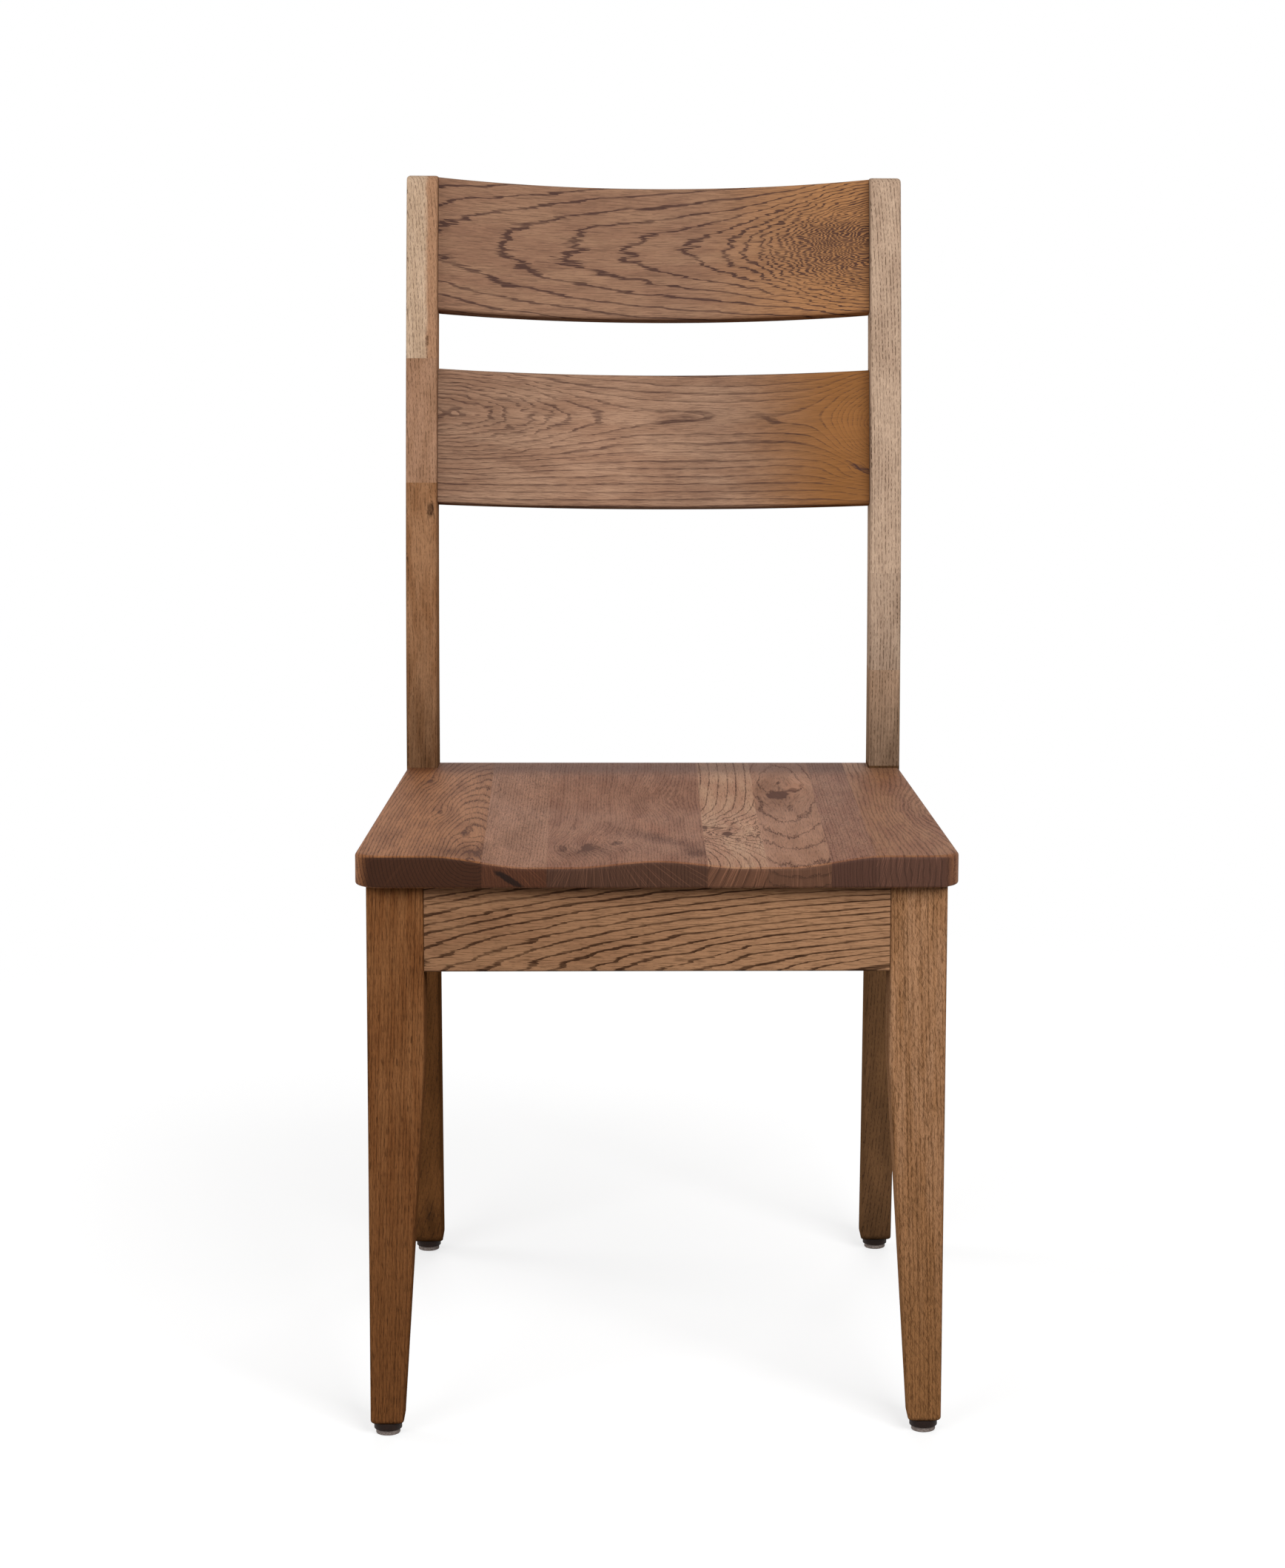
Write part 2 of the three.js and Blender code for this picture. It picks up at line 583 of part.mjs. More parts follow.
// Rows of the seat's grid: fine round the front corners and the rear edge, even between.
function seatRows() {
  const rows = [];
  const quarter = Math.PI / 2;
  const turns = 2 * CORNER_STEPS + 1;
  for (let i = 0; i < turns; i += 1) {
    rows.push(CORNER_Y - SEAT_CORNER * Math.cos((quarter * i) / turns));
  }
  const end = SEAT_BACK - SEAT_TOP_EDGE;
  for (let i = 0; i < SEAT_ROWS; i += 1) {
    rows.push(CORNER_Y + ((end - CORNER_Y) * i) / SEAT_ROWS);
  }
  for (let i = 0; i <= CORNER_STEPS; i += 1) {
    rows.push(end + SEAT_TOP_EDGE * Math.sin((quarter * i) / CORNER_STEPS));
  }
  return rows;
}

const glueLine = ({ front, rear }, y) =>
  front + ((rear - front) * (y - SEAT_FRONT)) / (SEAT_BACK - SEAT_FRONT);

// Columns of one row: even between the stave's sides, fine along an outer edge of the seat.
function staveColumns(left, right, y) {
  const half = seatHalf(y);
  const rim = [];
  for (let i = 0; i < CORNER_STEPS; i += 1) {
    rim.push(SEAT_TOP_EDGE * (1 - Math.cos((Math.PI / 2) * (i / CORNER_STEPS))));
  }
  const x0 = left === undefined ? -half + SEAT_TOP_EDGE : glueLine(left, y);
  const x1 = right === undefined ? half - SEAT_TOP_EDGE : glueLine(right, y);
  const side = seatSide(SEAT_FRONT);
  const widest = (right?.front ?? side) - (left?.front ?? -side);
  const columns = Math.ceil(widest / STAVE_COLUMN);
  const even = [...Array(columns + 1).keys()].map((i) => x0 + ((x1 - x0) * i) / columns);
  const leftRim = left === undefined ? rim.map((inset) => -half + inset) : [];
  const rightRim = right === undefined ? rim.map((inset) => half - inset).reverse() : [];
  return [...leftRim, ...even, ...rightRim];
}

function stave(left, right) {
  const rows = seatRows();
  const grid = (height) => rows.map((y) =>
    staveColumns(left, right, y).map((x) => new THREE.Vector3(x, y, height(x, y))));
  return slab(grid(seatTop), grid(seatUnder));
}

// Space of a rear leg through the seat, open to the outside and the back.
function legNotch(side) {
  const ends = [side * (REAR_INNER - FIT), side * FRONT_SPREAD].sort((a, b) => a - b);
  return box([ends[0], SEAT_REACH - FIT, 0], [ends[1], SEAT_REACH + SEAT_BACK, BACK_HEIGHT]);
}

// ---------------------------------------------------------------- aprons

// An apron is one section carried from leg to leg, with a tenon joined on at each end.
function frontApron() {
  const end = FRONT_INNER - FIT;
  const ring = (x) =>
    roundedRectangle(APRON_SETBACK, APRON_FACE, apronBottom(0), apronTop(APRON_FACE), APRON_EDGE)
      .map(([y, z]) => new THREE.Vector3(x, y, z));
  const body = loft([ring(-end), ring(end)]);
  const tenon = frontTenon(APRON_THICK, 0);
  return join(body, [tenon, mirrored(tenon, -1)]);
}

function rearApron() {
  const end = REAR_INNER - FIT;
  const back = REAR_APRON_FACE + REAR_APRON_THICK;
  const ring = (x) =>
    roundedRectangle(REAR_APRON_FACE, back, apronBottom(SEAT_REACH), apronTop(back), APRON_EDGE)
      .map(([y, z]) => new THREE.Vector3(x, y, z));
  const body = loft([ring(-end), ring(end)]);
  const tenon = rearTenon(APRON_THICK, 0);
  return join(body, [tenon, mirrored(tenon, -1)]);
}

// Right-hand side apron: falls with the seat and closes in slightly towards the back.
function sideApron() {
  const ring = (y) =>
    roundedRectangle(sideApronInner(y), sideApronOuter(y), apronBottom(y), apronTop(y), APRON_EDGE)
      .map(([x, z]) => new THREE.Vector3(x, y, z));
  const body = loft([ring(SEAT_REACH - FIT), ring(FRONT_LEG + FIT)]);
  return join(body, [sideTenon(true, APRON_THICK, 0), sideTenon(false, APRON_THICK, 0)]);
}

// ---------------------------------------------------------------- corner blocks and screws

// The corner that a right-hand block fills: the leg's inner corner, the apron across the chair,
// and which way the block runs along the side apron.
const CORNERS = {
  front: { legX: FRONT_INNER, legY: FRONT_LEG, crossY: APRON_FACE, way: 1 },
  rear: { legX: REAR_INNER, legY: SEAT_REACH, crossY: REAR_APRON_FACE, way: -1 },
};

function blockOutline({ legX, legY, crossY, way }) {
  const inner = legX - FIT;
  const cross = crossY + way * FIT;
  const leg = legY + way * FIT;
  const end = leg + way * BLOCK_ARM;
  const beside = (y) => sideApronInner(y) - FIT;
  return [
    [inner - BLOCK_ARM, cross],
    [inner, cross],
    [inner, leg],
    [beside(leg), leg],
    [beside(end), end],
    [beside(end) - BLOCK_END, end],
    [inner - BLOCK_ARM, cross + way * BLOCK_END],
  ].map(([x, y]) => new THREE.Vector2(x, y));
}

function countersunk(length) {
  return turned([
    [0, 0],
    [SCREW_HEAD_RADIUS, 0],
    [SCREW_RADIUS, SCREW_HEAD_HEIGHT],
    [SCREW_RADIUS, length - SCREW_TIP],
    [0, length],
  ], SCREW_STEPS);
}

// Hole for a countersunk screw, open behind its head.
function screwHole(length) {
  const head = SCREW_HEAD_RADIUS + FIT;
  const shank = SCREW_RADIUS + FIT;
  return turned([
    [0, -SCREW_HEAD_HEIGHT],
    [head, -SCREW_HEAD_HEIGHT],
    [head, FIT],
    [shank, SCREW_HEAD_HEIGHT + FIT],
    [shank, length + FIT],
    [0, length + FIT],
  ], SCREW_STEPS);
}

// Screws of one right-hand corner: up through the block into the seat, and slantwise
// through it into the leg.
function cornerScrews(corner) {
  const { legX, legY, crossY, way } = corner;
  const outline = blockOutline(corner);
  const top = underside(legY) - FIT;
  const slantStart = outline[5].clone().add(outline[6]).multiplyScalar(0.5);
  const slant = new THREE.Vector3(legX - slantStart.x, legY - slantStart.y, 0);
  const seatPlace = new THREE.Vector3(
    legX - SEAT_SCREW_ALONG, crossY + way * SEAT_SCREW_IN, top - BLOCK_THICK + FIT);
  const slantPlace = new THREE.Vector3(slantStart.x, slantStart.y, top - BLOCK_THICK / 2);
  slantPlace.addScaledVector(slant.clone().normalize(), FIT);
  return {
    seat: { place: seatPlace, direction: new THREE.Vector3(0, 0, 1), length: SEAT_SCREW_LONG },
    block: { place: slantPlace, direction: slant, length: BLOCK_SCREW_LONG },
  };
}

const makeScrew = ({ place, direction, length }) =>
  aimed(countersunk(length), place, direction);
const makeScrewHole = ({ place, direction, length }) =>
  aimed(screwHole(length), place, direction);

function cornerBlock(corner) {
  const low = () => underside(corner.legY) - FIT - BLOCK_THICK;
  const block = prism(blockOutline(corner), low, (y) => underside(y) - FIT);
  return cut(block, Object.values(cornerScrews(corner)).map(makeScrewHole));
}

// ---------------------------------------------------------------- assembly

const chair = new THREE.Group();
const standing = new THREE.Group();
chair.add(standing);

function add(name, geometry, material, parent = standing) {
  const mesh = new THREE.Mesh(geometry, material);
  mesh.name = name;
  parent.add(mesh);
  return mesh;
}

const SIDES = { left: -1, right: 1 };
const screws = Object.fromEntries(
  Object.entries(CORNERS).map(([end, corner]) => [end, cornerScrews(corner)]));

for (const [hand, side] of Object.entries(SIDES)) {
  const placed = (geometry) => mirrored(geometry, side);
  const frontMortises = [frontTenon(1, FIT), sideTenon(true, 1, FIT)];
  const rearMortises = [rearTenon(1, FIT), sideTenon(false, 1, FIT), ...slatMortises(1)];
  const frontHoles = [nailHole(FRONT_GLIDE), makeScrewHole(screws.front.block)];
  const rearHoles = [nailHole(REAR_GLIDE), makeScrewHole(screws.rear.block)];
  add(`front_leg_${hand}`, placed(cut(frontLeg(), [...frontMortises, ...frontHoles])), LEG_OAK);
  add(`rear_leg_${hand}`, placed(cut(rearLeg(), [...rearMortises, ...rearHoles])), LEG_OAK);
  add(`side_apron_${hand}`, placed(sideApron()), LEG_OAK);

  for (const [end, corner] of Object.entries(CORNERS)) {
    add(`corner_block_${end}_${hand}`, placed(cornerBlock(corner)), BLOCK_OAK);
    add(`seat_screw_${end}_${hand}`, placed(makeScrew(screws[end].seat)), STEEL);
    add(`block_screw_${end}_${hand}`, placed(makeScrew(screws[end].block)), STEEL);
  }

  for (const [end, centre] of Object.entries({ front: FRONT_GLIDE, rear: REAR_GLIDE })) {
    const foot = new THREE.Group();
    foot.position.set(side * centre.x, centre.y, 0);
    standing.add(foot);
    add(`glide_cup_${end}_${hand}`, glideCup(), PLASTIC, foot);
    add(`felt_pad_${end}_${hand}`, feltPad(), FELT, foot);
    add(`glide_nail_${end}_${hand}`, glideNail(), STEEL, foot);
  }
}

add("front_apron", frontApron(), LEG_OAK);
add("rear_apron", rearApron(), LEG_OAK);
for (const [name, frame] of Object.entries(SLAT_FRAMES)) add(name, slat(frame), SLAT_OAK);

const seatHoles = Object.values(screws).flatMap(({ seat }) =>
  Object.values(SIDES).map((side) => mirrored(makeScrewHole(seat), side)));
const seams = STAVE_FRONT_LINES.map((front, i) => ({ front, rear: STAVE_REAR_LINES[i] }));
seams.unshift(undefined);
seams.push(undefined);
for (let i = 0; i + 1 < seams.length; i += 1) {
  const tools = [...seatHoles, legNotch(-1), legNotch(1)];
  add(`seat_stave_${i + 1}`, cut(stave(seams[i], seams[i + 1]), tools), SEAT_OAK);
}

const footprint = new THREE.Box3().setFromObject(standing, true);
standing.position.y = -(footprint.min.y + footprint.max.y) / 2;

export default chair;
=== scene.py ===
"""Looks of a solid oak dining chair: a saddle seat glued up from seven staves, tapered front legs,
swept rear legs, two bent back slats and aprons, on felt glides. Lengths are in metres."""

import math
from dataclasses import dataclass

import bpy
import numpy as np
from mathutils import Matrix, Vector


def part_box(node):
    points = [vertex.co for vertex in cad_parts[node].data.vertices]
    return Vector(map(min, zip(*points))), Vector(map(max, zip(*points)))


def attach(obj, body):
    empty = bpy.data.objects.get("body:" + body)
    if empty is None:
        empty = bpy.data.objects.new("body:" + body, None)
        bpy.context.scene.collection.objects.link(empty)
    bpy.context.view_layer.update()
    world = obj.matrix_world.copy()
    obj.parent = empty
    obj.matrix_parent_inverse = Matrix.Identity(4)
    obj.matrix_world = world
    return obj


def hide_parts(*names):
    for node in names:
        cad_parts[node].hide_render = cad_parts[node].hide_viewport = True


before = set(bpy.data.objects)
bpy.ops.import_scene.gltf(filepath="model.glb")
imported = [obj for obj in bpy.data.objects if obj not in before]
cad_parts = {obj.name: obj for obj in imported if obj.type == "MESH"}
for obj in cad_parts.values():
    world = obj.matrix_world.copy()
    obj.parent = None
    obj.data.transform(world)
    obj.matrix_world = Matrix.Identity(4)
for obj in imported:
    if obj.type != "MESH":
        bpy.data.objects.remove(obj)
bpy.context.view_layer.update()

# ---------------- sizes of the chair

MM = 0.001
FIT = 0.3 * MM  # gap at a shoulder

FRONT_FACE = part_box("front_leg_left")[0].y  # front faces of the front legs
REAR_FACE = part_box("rear_leg_left")[0].y  # front faces of the rear legs, at the seat
LEG_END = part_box("front_leg_left")[0].z  # height of the legs' lower ends
BACK_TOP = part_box("rear_leg_left")[1].z
FRONT_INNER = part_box("front_leg_right")[0].x
FRONT_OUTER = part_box("front_leg_right")[1].x
REAR_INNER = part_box("rear_leg_right")[0].x
REAR_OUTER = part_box("rear_leg_right")[1].x
SEAT_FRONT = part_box("seat_stave_4")[0].y
SEAT_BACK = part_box("seat_stave_4")[1].y

SEAT_OVERHANG = 9.2 * MM  # past the front legs, at the front edge
SEAT_HALF_FRONT = FRONT_OUTER + SEAT_OVERHANG  # half-width of the seat at its front edge
SEAT_HEIGHT = 465 * MM  # top of the seat at its front edge
SEAT_FALL = 7 * MM  # over the run to the rear legs
SEAT_THICK = 25 * MM
SEAT_CORNER = 23 * MM  # radius of the front corners, seen from above
SEAT_TOP_EDGE = 3 * MM
SEAT_UNDER_EDGE = 2 * MM

HOLLOW_DEPTH = 9 * MM  # thigh hollows at the front edge
HOLLOW_CENTRE = 83 * MM
HOLLOW_FLAT = 16 * MM
HOLLOW_BANK = 76 * MM
POMMEL_DEPTH = 4 * MM  # crest between the hollows
POMMEL_END = 190 * MM
BOWL_DEPTH = 11 * MM  # the bowl behind them
BOWL_FLAT = 78 * MM
BOWL_BANK = 96 * MM
SCOOP_FADE_START = 270 * MM
SCOOP_FADE_END = 440 * MM

LEG_EDGE = 2.5 * MM  # rounding of the legs' long edges
FRONT_FOOT = 26 * MM  # a front leg's width at the floor
FOOT_EASE = 3.5 * MM  # rounding of its lower end
FRONT_LEG_TOP_EASE = 1 * MM
TAPER_DROP = 70 * MM  # from the apron down to the taper
REAR_LEG_DEPTH = 42 * MM
REAR_TOP_DEPTH = 36 * MM
REAR_FOOT_DEPTH = 35 * MM
UPRIGHT_MARGIN = 8 * MM  # upright part past the seat and the apron
BACK_SWEEP = 60.4 * MM
BACK_CURVE = 1.86
FOOT_SWEEP = 38.5 * MM
FOOT_CURVE = 1.4
REAR_LEG_CORNER = 7 * MM  # rounding of the ends, seen from the side
REAR_LEG_EASE = 3 * MM  # and seen from the front

APRON_HEIGHT = 68 * MM
APRON_THICK = 22 * MM
REAR_APRON_THICK = 20 * MM
REAR_APRON_INSET = 8 * MM
APRON_SETBACK = 1.5 * MM
APRON_EDGE = 2 * MM

SLAT_HEIGHT = 120 * MM
SLAT_THICK = 22 * MM
SLAT_SAG = 44.8 * MM
SLAT_SETBACK = 13 * MM
SLAT_TOP_DROP = 0.5 * MM
SLAT_SPACE = 51.5 * MM
TOP_SLAT_LEAN = math.radians(12.3)
LOWER_SLAT_LEAN = math.radians(10.2)
SLAT_EDGE = 3.5 * MM

SEAT_REACH = REAR_FACE - SEAT_FRONT  # from the seat's front edge to the rear legs
SIDES = {"left": -1, "right": 1}


def seat_plane(y):
    """Height of the seat's top before it is scooped: a plane that falls to the back."""
    return SEAT_HEIGHT - SEAT_FALL * (y - SEAT_FRONT) / SEAT_REACH


def underside(y):
    """Height of the seat's underside: the plane of the top, lower by the thickness."""
    return seat_plane(y) - SEAT_THICK


def apron_top(y):
    """Height of an apron's upper edge: just under the seat."""
    return underside(y) - FIT


def apron_bottom(y):
    """Height of its lower edge."""
    return apron_top(y) - APRON_HEIGHT


UPRIGHT_LOW = apron_bottom(REAR_FACE) - UPRIGHT_MARGIN
UPRIGHT_HIGH = seat_plane(REAR_FACE) + UPRIGHT_MARGIN


def rear_leg_shares(z):
    """How far up its upper sweep, and how far down its lower one, a height on a rear leg is."""
    up = np.clip((z - UPRIGHT_HIGH) / (BACK_TOP - UPRIGHT_HIGH), 0, 1)
    down = np.clip((UPRIGHT_LOW - z) / (UPRIGHT_LOW - LEG_END), 0, 1)
    return up, down


def rear_leg_front(z):
    """Front edge of a rear leg: upright at the seat, swept back by a power of the height."""
    up, down = rear_leg_shares(z)
    return REAR_FACE + BACK_SWEEP * up**BACK_CURVE + FOOT_SWEEP * down**FOOT_CURVE


def rear_leg_depth(z):
    """Depth of a rear leg: it thins evenly towards the top and towards the foot."""
    up, down = rear_leg_shares(z)
    lost_above = (REAR_LEG_DEPTH - REAR_TOP_DEPTH) * up
    lost_below = (REAR_LEG_DEPTH - REAR_FOOT_DEPTH) * down
    return REAR_LEG_DEPTH - lost_above - lost_below


# ---------------- shader sums


def linear(red, green, blue):
    """A colour written as 0 to 255 on a screen, as the light that a shader works with."""
    return tuple((v / 255 + 0.055) ** 2.4 / 1.055**2.4 if v > 10 else v / 255 / 12.92
                 for v in (red, green, blue)) + (1.0,)


class Number:
    """A socket of a finish; sums written with it add the finish's Math nodes."""

    def __init__(self, finish, socket):
        self.finish = finish
        self.socket = socket

    def __add__(self, other):
        return self.finish.math("ADD", self, other)

    def __sub__(self, other):
        return self.finish.math("SUBTRACT", self, other)

    def __rsub__(self, other):
        return self.finish.math("SUBTRACT", other, self)

    def __mul__(self, other):
        return self.finish.math("MULTIPLY", self, other)

    def __truediv__(self, other):
        return self.finish.math("DIVIDE", self, other)

    __radd__ = __add__
    __rmul__ = __mul__


class Finish:
    """The node tree of a material or a world, being made."""

    def __init__(self, owner):
        self.owner = owner
        owner.use_nodes = True
        self.tree = owner.node_tree
        self.tree.nodes.clear()

    def node(self, kind, settings=None, inputs=None, output=0):
        """Adds a node with its settings, then the values or links of its sockets."""
        node = self.tree.nodes.new(kind)
        for key, value in (settings or {}).items():
            setattr(node, key, value)
        for key, value in (inputs or {}).items():
            if isinstance(value, Number):
                self.tree.links.new(value.socket, node.inputs[key])
            elif node.inputs[key].type == "VECTOR":
                node.inputs[key].default_value = value[:3]
            else:
                node.inputs[key].default_value = value
        return Number(self, node.outputs[output])

    def math(self, operation, *values):
        """Result of a sum on sockets and numbers."""
        return self.node("ShaderNodeMath", {"operation": operation}, dict(enumerate(values)))

    def split(self, vector):
        """The three numbers of a vector."""
        x = self.node("ShaderNodeSeparateXYZ", inputs={0: vector})
        return [Number(self, socket) for socket in x.socket.node.outputs]

    def joined(self, x, y, z):
        """The vector of three numbers."""
        return self.node("ShaderNodeCombineXYZ", inputs={0: x, 1: y, 2: z})

    def rise(self, value, start, end):
        """0 before start, 1 after end, smooth between; it falls where end is below start."""
        inputs = {"Value": value, "From Min": start, "From Max": end}
        return self.node("ShaderNodeMapRange", {"interpolation_type": "SMOOTHSTEP"}, inputs)

    def noise(self, place, sizes, seed, detail=2.0, roughness=0.5):
        """Cloudy noise from 0 to 1 whose clouds have the given sizes along the three axes."""
        spread = self.node(
            "ShaderNodeVectorMath", {"operation": "MULTIPLY_ADD"},
            {0: place, 1: tuple(1 / size for size in sizes), 2: (seed, seed * 0.37, -seed)})
        inputs = {"Vector": spread, "Scale": 1.0, "Detail": detail, "Roughness": roughness}
        return self.node("ShaderNodeTexNoise", inputs=inputs)

    def mix(self, share, first, second):
        """Colour between two colours: the first where share is 0, the second where it is 1."""
        inputs = {0: share, 6: first, 7: second}
        return self.node("ShaderNodeMix", {"data_type": "RGBA"}, inputs, 2)

    def tint(self, colour, strength):
        """Colour times a number."""
        return self.node("ShaderNodeVectorMath", {"operation": "SCALE"}, {0: colour, 3: strength})

    def hill(self, x, y, centre_x, centre_y, half_x, half_y, turn=0.0):
        """A bell of height 1 over an ellipse: e to minus the squared distance in half-sizes."""
        x, y = x - centre_x, y - centre_y
        if turn:
            x, y = (x * math.cos(turn) + y * math.sin(turn),
                    y * math.cos(turn) - x * math.sin(turn))
        x, y = x / half_x, y / half_y
        return self.math("EXPONENT", (x * x + y * y) * -1)

    def bump(self, height, depth):
        """Normal of a surface whose height is depth times the given number."""
        inputs = {"Strength": 1.0, "Distance": depth, "Height": height}
        return self.node("ShaderNodeBump", inputs=inputs)

    def board(self):
        """Place in the board that a piece is cut from: along the grain, across, deep."""
        return self.node("ShaderNodeAttribute", {"attribute_name": "board"}, output=1)

    def place(self):
        """Place in the chair."""
        return self.node("ShaderNodeTexCoord", output=3)

    def surface(self, colour, roughness, normal, specular=0.35, metallic=0.0):
        """Ends a material: the shader that takes its colour, roughness and relief."""
        inputs = {
            "Base Color": colour,
            "Roughness": roughness,
            "Specular IOR Level": specular,
            "Metallic": metallic,
            "Normal": normal,
        }
        return self.end(self.node("ShaderNodeBsdfPrincipled", inputs=inputs))

    def end(self, shader, kind="Material"):
        """Ends the node tree with a shader, and gives back what the tree belongs to."""
        out = self.tree.nodes.new(f"ShaderNodeOutput{kind}")
        self.tree.links.new(shader.socket, out.inputs["Surface"])
        return self.owner

    def seen(self):
        """1 for rays that show the thing itself, in the picture or in a reflection."""
        path = self.node("ShaderNodeLightPath").socket.node.outputs
        camera, glossy, through = (
            Number(self, path[key])
            for key in ("Is Camera Ray", "Is Glossy Ray", "Is Transmission Ray"))
        return self.math("MAXIMUM", self.math("MAXIMUM", camera, glossy), through)


# ---------------- oak


@dataclass
class Board:
    """How one board is cut and marked. Tones are written as 0 to 255 on a screen, and lengths
    in millimetres, in the board's own coordinates: along the grain, across the face, into the
    board. A spot is an ellipse: its place along and across, its half-length and half-width,
    and a turn in radians if it lies askew."""

    seed: float
    pale: tuple  # the two tones that the wood drifts between
    deep: tuple
    pore: tuple  # tone of pores and knots
    pith: tuple = (0, -60)  # place of the growth centre, across and deep
    run: tuple = (0, 0)  # how much those change for each unit along
    ring: float = 6.0  # width of a growth ring
    wander: float = 0.4  # how far the rings wander, in rings
    uneven: float = 0.5  # how much their widths differ
    tear: tuple = (6, 5)  # how far they are torn lengthwise, broadly and finely
    band: float = 0.25  # share of a ring that is pores
    band_depth: float = 0.85
    pores: tuple = (8, 0.9, 0.4)  # of the bands: length, width, share that is always dark
    dashes: tuple = (28, 1.0, 0.45)  # of scattered pores: length, width, darkness
    fibre: float = 0.5  # contrast of the fine streaks
    clouds: tuple = (70, 14)  # length and width of patches of tone
    swells: tuple = ()  # spots that add rings, for ovals: spot, rings
    ripple: float = 3.0  # how far rings wander in those spots, in rings
    swell_band: float = 0.25  # what those spots add to the share that is pores
    swell_tear: float = 0.6  # share of the tearing that their rings take
    calm: tuple = ()  # where along the board the tearing ends: start, end
    late: float = 0.0  # how much a ring brightens from its start to its end
    knots: tuple = ()  # dark spots that the rings bend round: spot, darkness, rings
    stains: tuple = ()  # cloudy spots: spot, darkness, below 0 where pores fade
    glows: tuple = ()  # pale spots of the wood, painted sheen and painted shade: spot, share, below 0 where they are dark
    drift: tuple = ()  # tone that takes over along the board: tone, start, end; it is painted shade at the staves' rear edge and painted light on the front apron
    edge: tuple = ()  # tone past a line across: tone, start, end, from where along
    lengths: tuple = ()  # glued-on lengths: two tones, start
    flecks: tuple = ()  # slanted rays: turn, length, width, brightness
    end: tuple = ()  # tone of the end grain, where it shows
    rays: tuple = (0, -100, 1.6, 0.3)  # on it: centre across and deep, spacing, strength
    end_knot: tuple = ()  # on it: spot across and deep, darkness
    specular: float = 0.0


# Sizes of the wood's noises: along the grain, across it and deep. Each use of noise adds a
# number of its own to the board's seed, so that no two are alike.
BROAD_TEAR = (34, 6, 6)
FINE_TEAR = (20, 1.3, 1.3)
WANDER = (70, 18, 18)
RIPPLE = (18, 8, 8)
RAGGED = (12, 3, 3)
STREAKS = (26, 1, 1)

TEAR_GAIN = 6  # makes up for noise that keeps near its middle
WIDTHS_PER_RING = 0.6  # how fast the rings' widths change
KNOT_RINGS = 2.5  # reach of a knot's rings, in half-sizes of the knot
KNOT_FLOW = 3  # reach of the grain that flows round it
KNOT_FLOW_SHARE = 0.6
GLUED_SHIFT = 37  # sets the rings of a glued-on length apart from those below it
PACKED_PORE = (0.42, 0.56)  # where noise turns into pores: in a ring's band,
LOOSE_PORE = (0.61, 0.68)  # scattered,
SHORT_PORE = (0.62, 0.69)  # and short ones among those
DARKEST = 0.96  # share of the pores' tone at most
KNOT_HEART = (24, 14, 10)
OAK_ROUGHNESS = 0.55


def growth(wood, board, along, across, deep):
    """Fraction of the growth ring at each place, and the share of it that is pores. The ring
    number is the distance from the pith line in ring widths, plus hills for ovals and knots and
    a slow wander. The place along the grain is torn by noise that is fine across it, so rings
    that cross the grain turn ragged and rings that follow it stay clean."""
    seed = board.seed
    place = wood.joined(along, across, deep)
    broad, fine = board.tear
    tear = (wood.noise(place, BROAD_TEAR, seed + 29, 1.0) - 0.5) * (TEAR_GAIN * broad)
    tear = tear + (wood.noise(place, FINE_TEAR, seed + 31, 1.0) - 0.5) * (TEAR_GAIN * fine)
    if board.calm:
        tear = tear * wood.rise(along, *reversed(board.calm))
    torn = along + tear
    x = across - board.pith[0] - torn * board.run[0]
    y = deep - board.pith[1] - torn * board.run[1]
    radius = wood.math("SQRT", x * x + y * y)
    wander = wood.noise(place, WANDER, seed, 2.0) - 0.5
    rings = radius / board.ring + wander * (2 * board.wander)
    share = board.band
    near = along + tear * board.swell_tear
    if board.swells:
        ripple = (wood.noise(place, RIPPLE, seed + 37, 1.0) - 0.5) * board.ripple
    for *spot, count in board.swells:
        hill = wood.hill(near, across, *spot)
        rings = rings + hill * (count + ripple)
        share = hill * board.swell_band + share
    for a, b, half_a, half_b, *_, count in board.knots:
        reach = KNOT_RINGS * half_a, KNOT_RINGS * half_b
        rings = rings + wood.hill(near, across, a, b, *reach) * count
    uneven = wood.node(
        "ShaderNodeTexNoise", {"noise_dimensions": "1D"},
        {"W": rings * WIDTHS_PER_RING + seed, "Scale": 1.0, "Detail": 1.0})
    return wood.math("FRACT", rings + uneven * (2 * board.uneven)), share


def ground_tone(wood, board, along, across, clouds, ragged):
    """Tone of the wood between its pores: two tones in slow clouds, then the tones that take
    over in glued-on lengths, along the board and past a ragged line across it. The tone along
    the board is painted shade at the rear edge of the seat's staves, and painted light that
    brightens the front apron towards its right end."""
    share = wood.rise(clouds, 0.33, 0.68)
    tone = wood.mix(share, linear(*board.pale), linear(*board.deep))
    for pale, deep, start in board.lengths:
        glued = wood.mix(share, linear(*pale), linear(*deep))
        tone = wood.mix(wood.math("GREATER_THAN", along, start), tone, glued)
    # Along the board: the wood's own tone on slats and legs, painted shade at the staves' rear
    # edge, painted light towards the front apron's right end.
    if board.drift:
        other, start, end = board.drift
        tone = wood.mix(wood.rise(along, start, end), tone, linear(*other))
    if board.edge:
        other, start, end, above = board.edge
        beyond = wood.rise(across + (ragged - 0.5) * 4, start, end)
        beyond = beyond * wood.math("GREATER_THAN", along, above)
        tone = wood.mix(beyond, tone, linear(*other))
    return tone


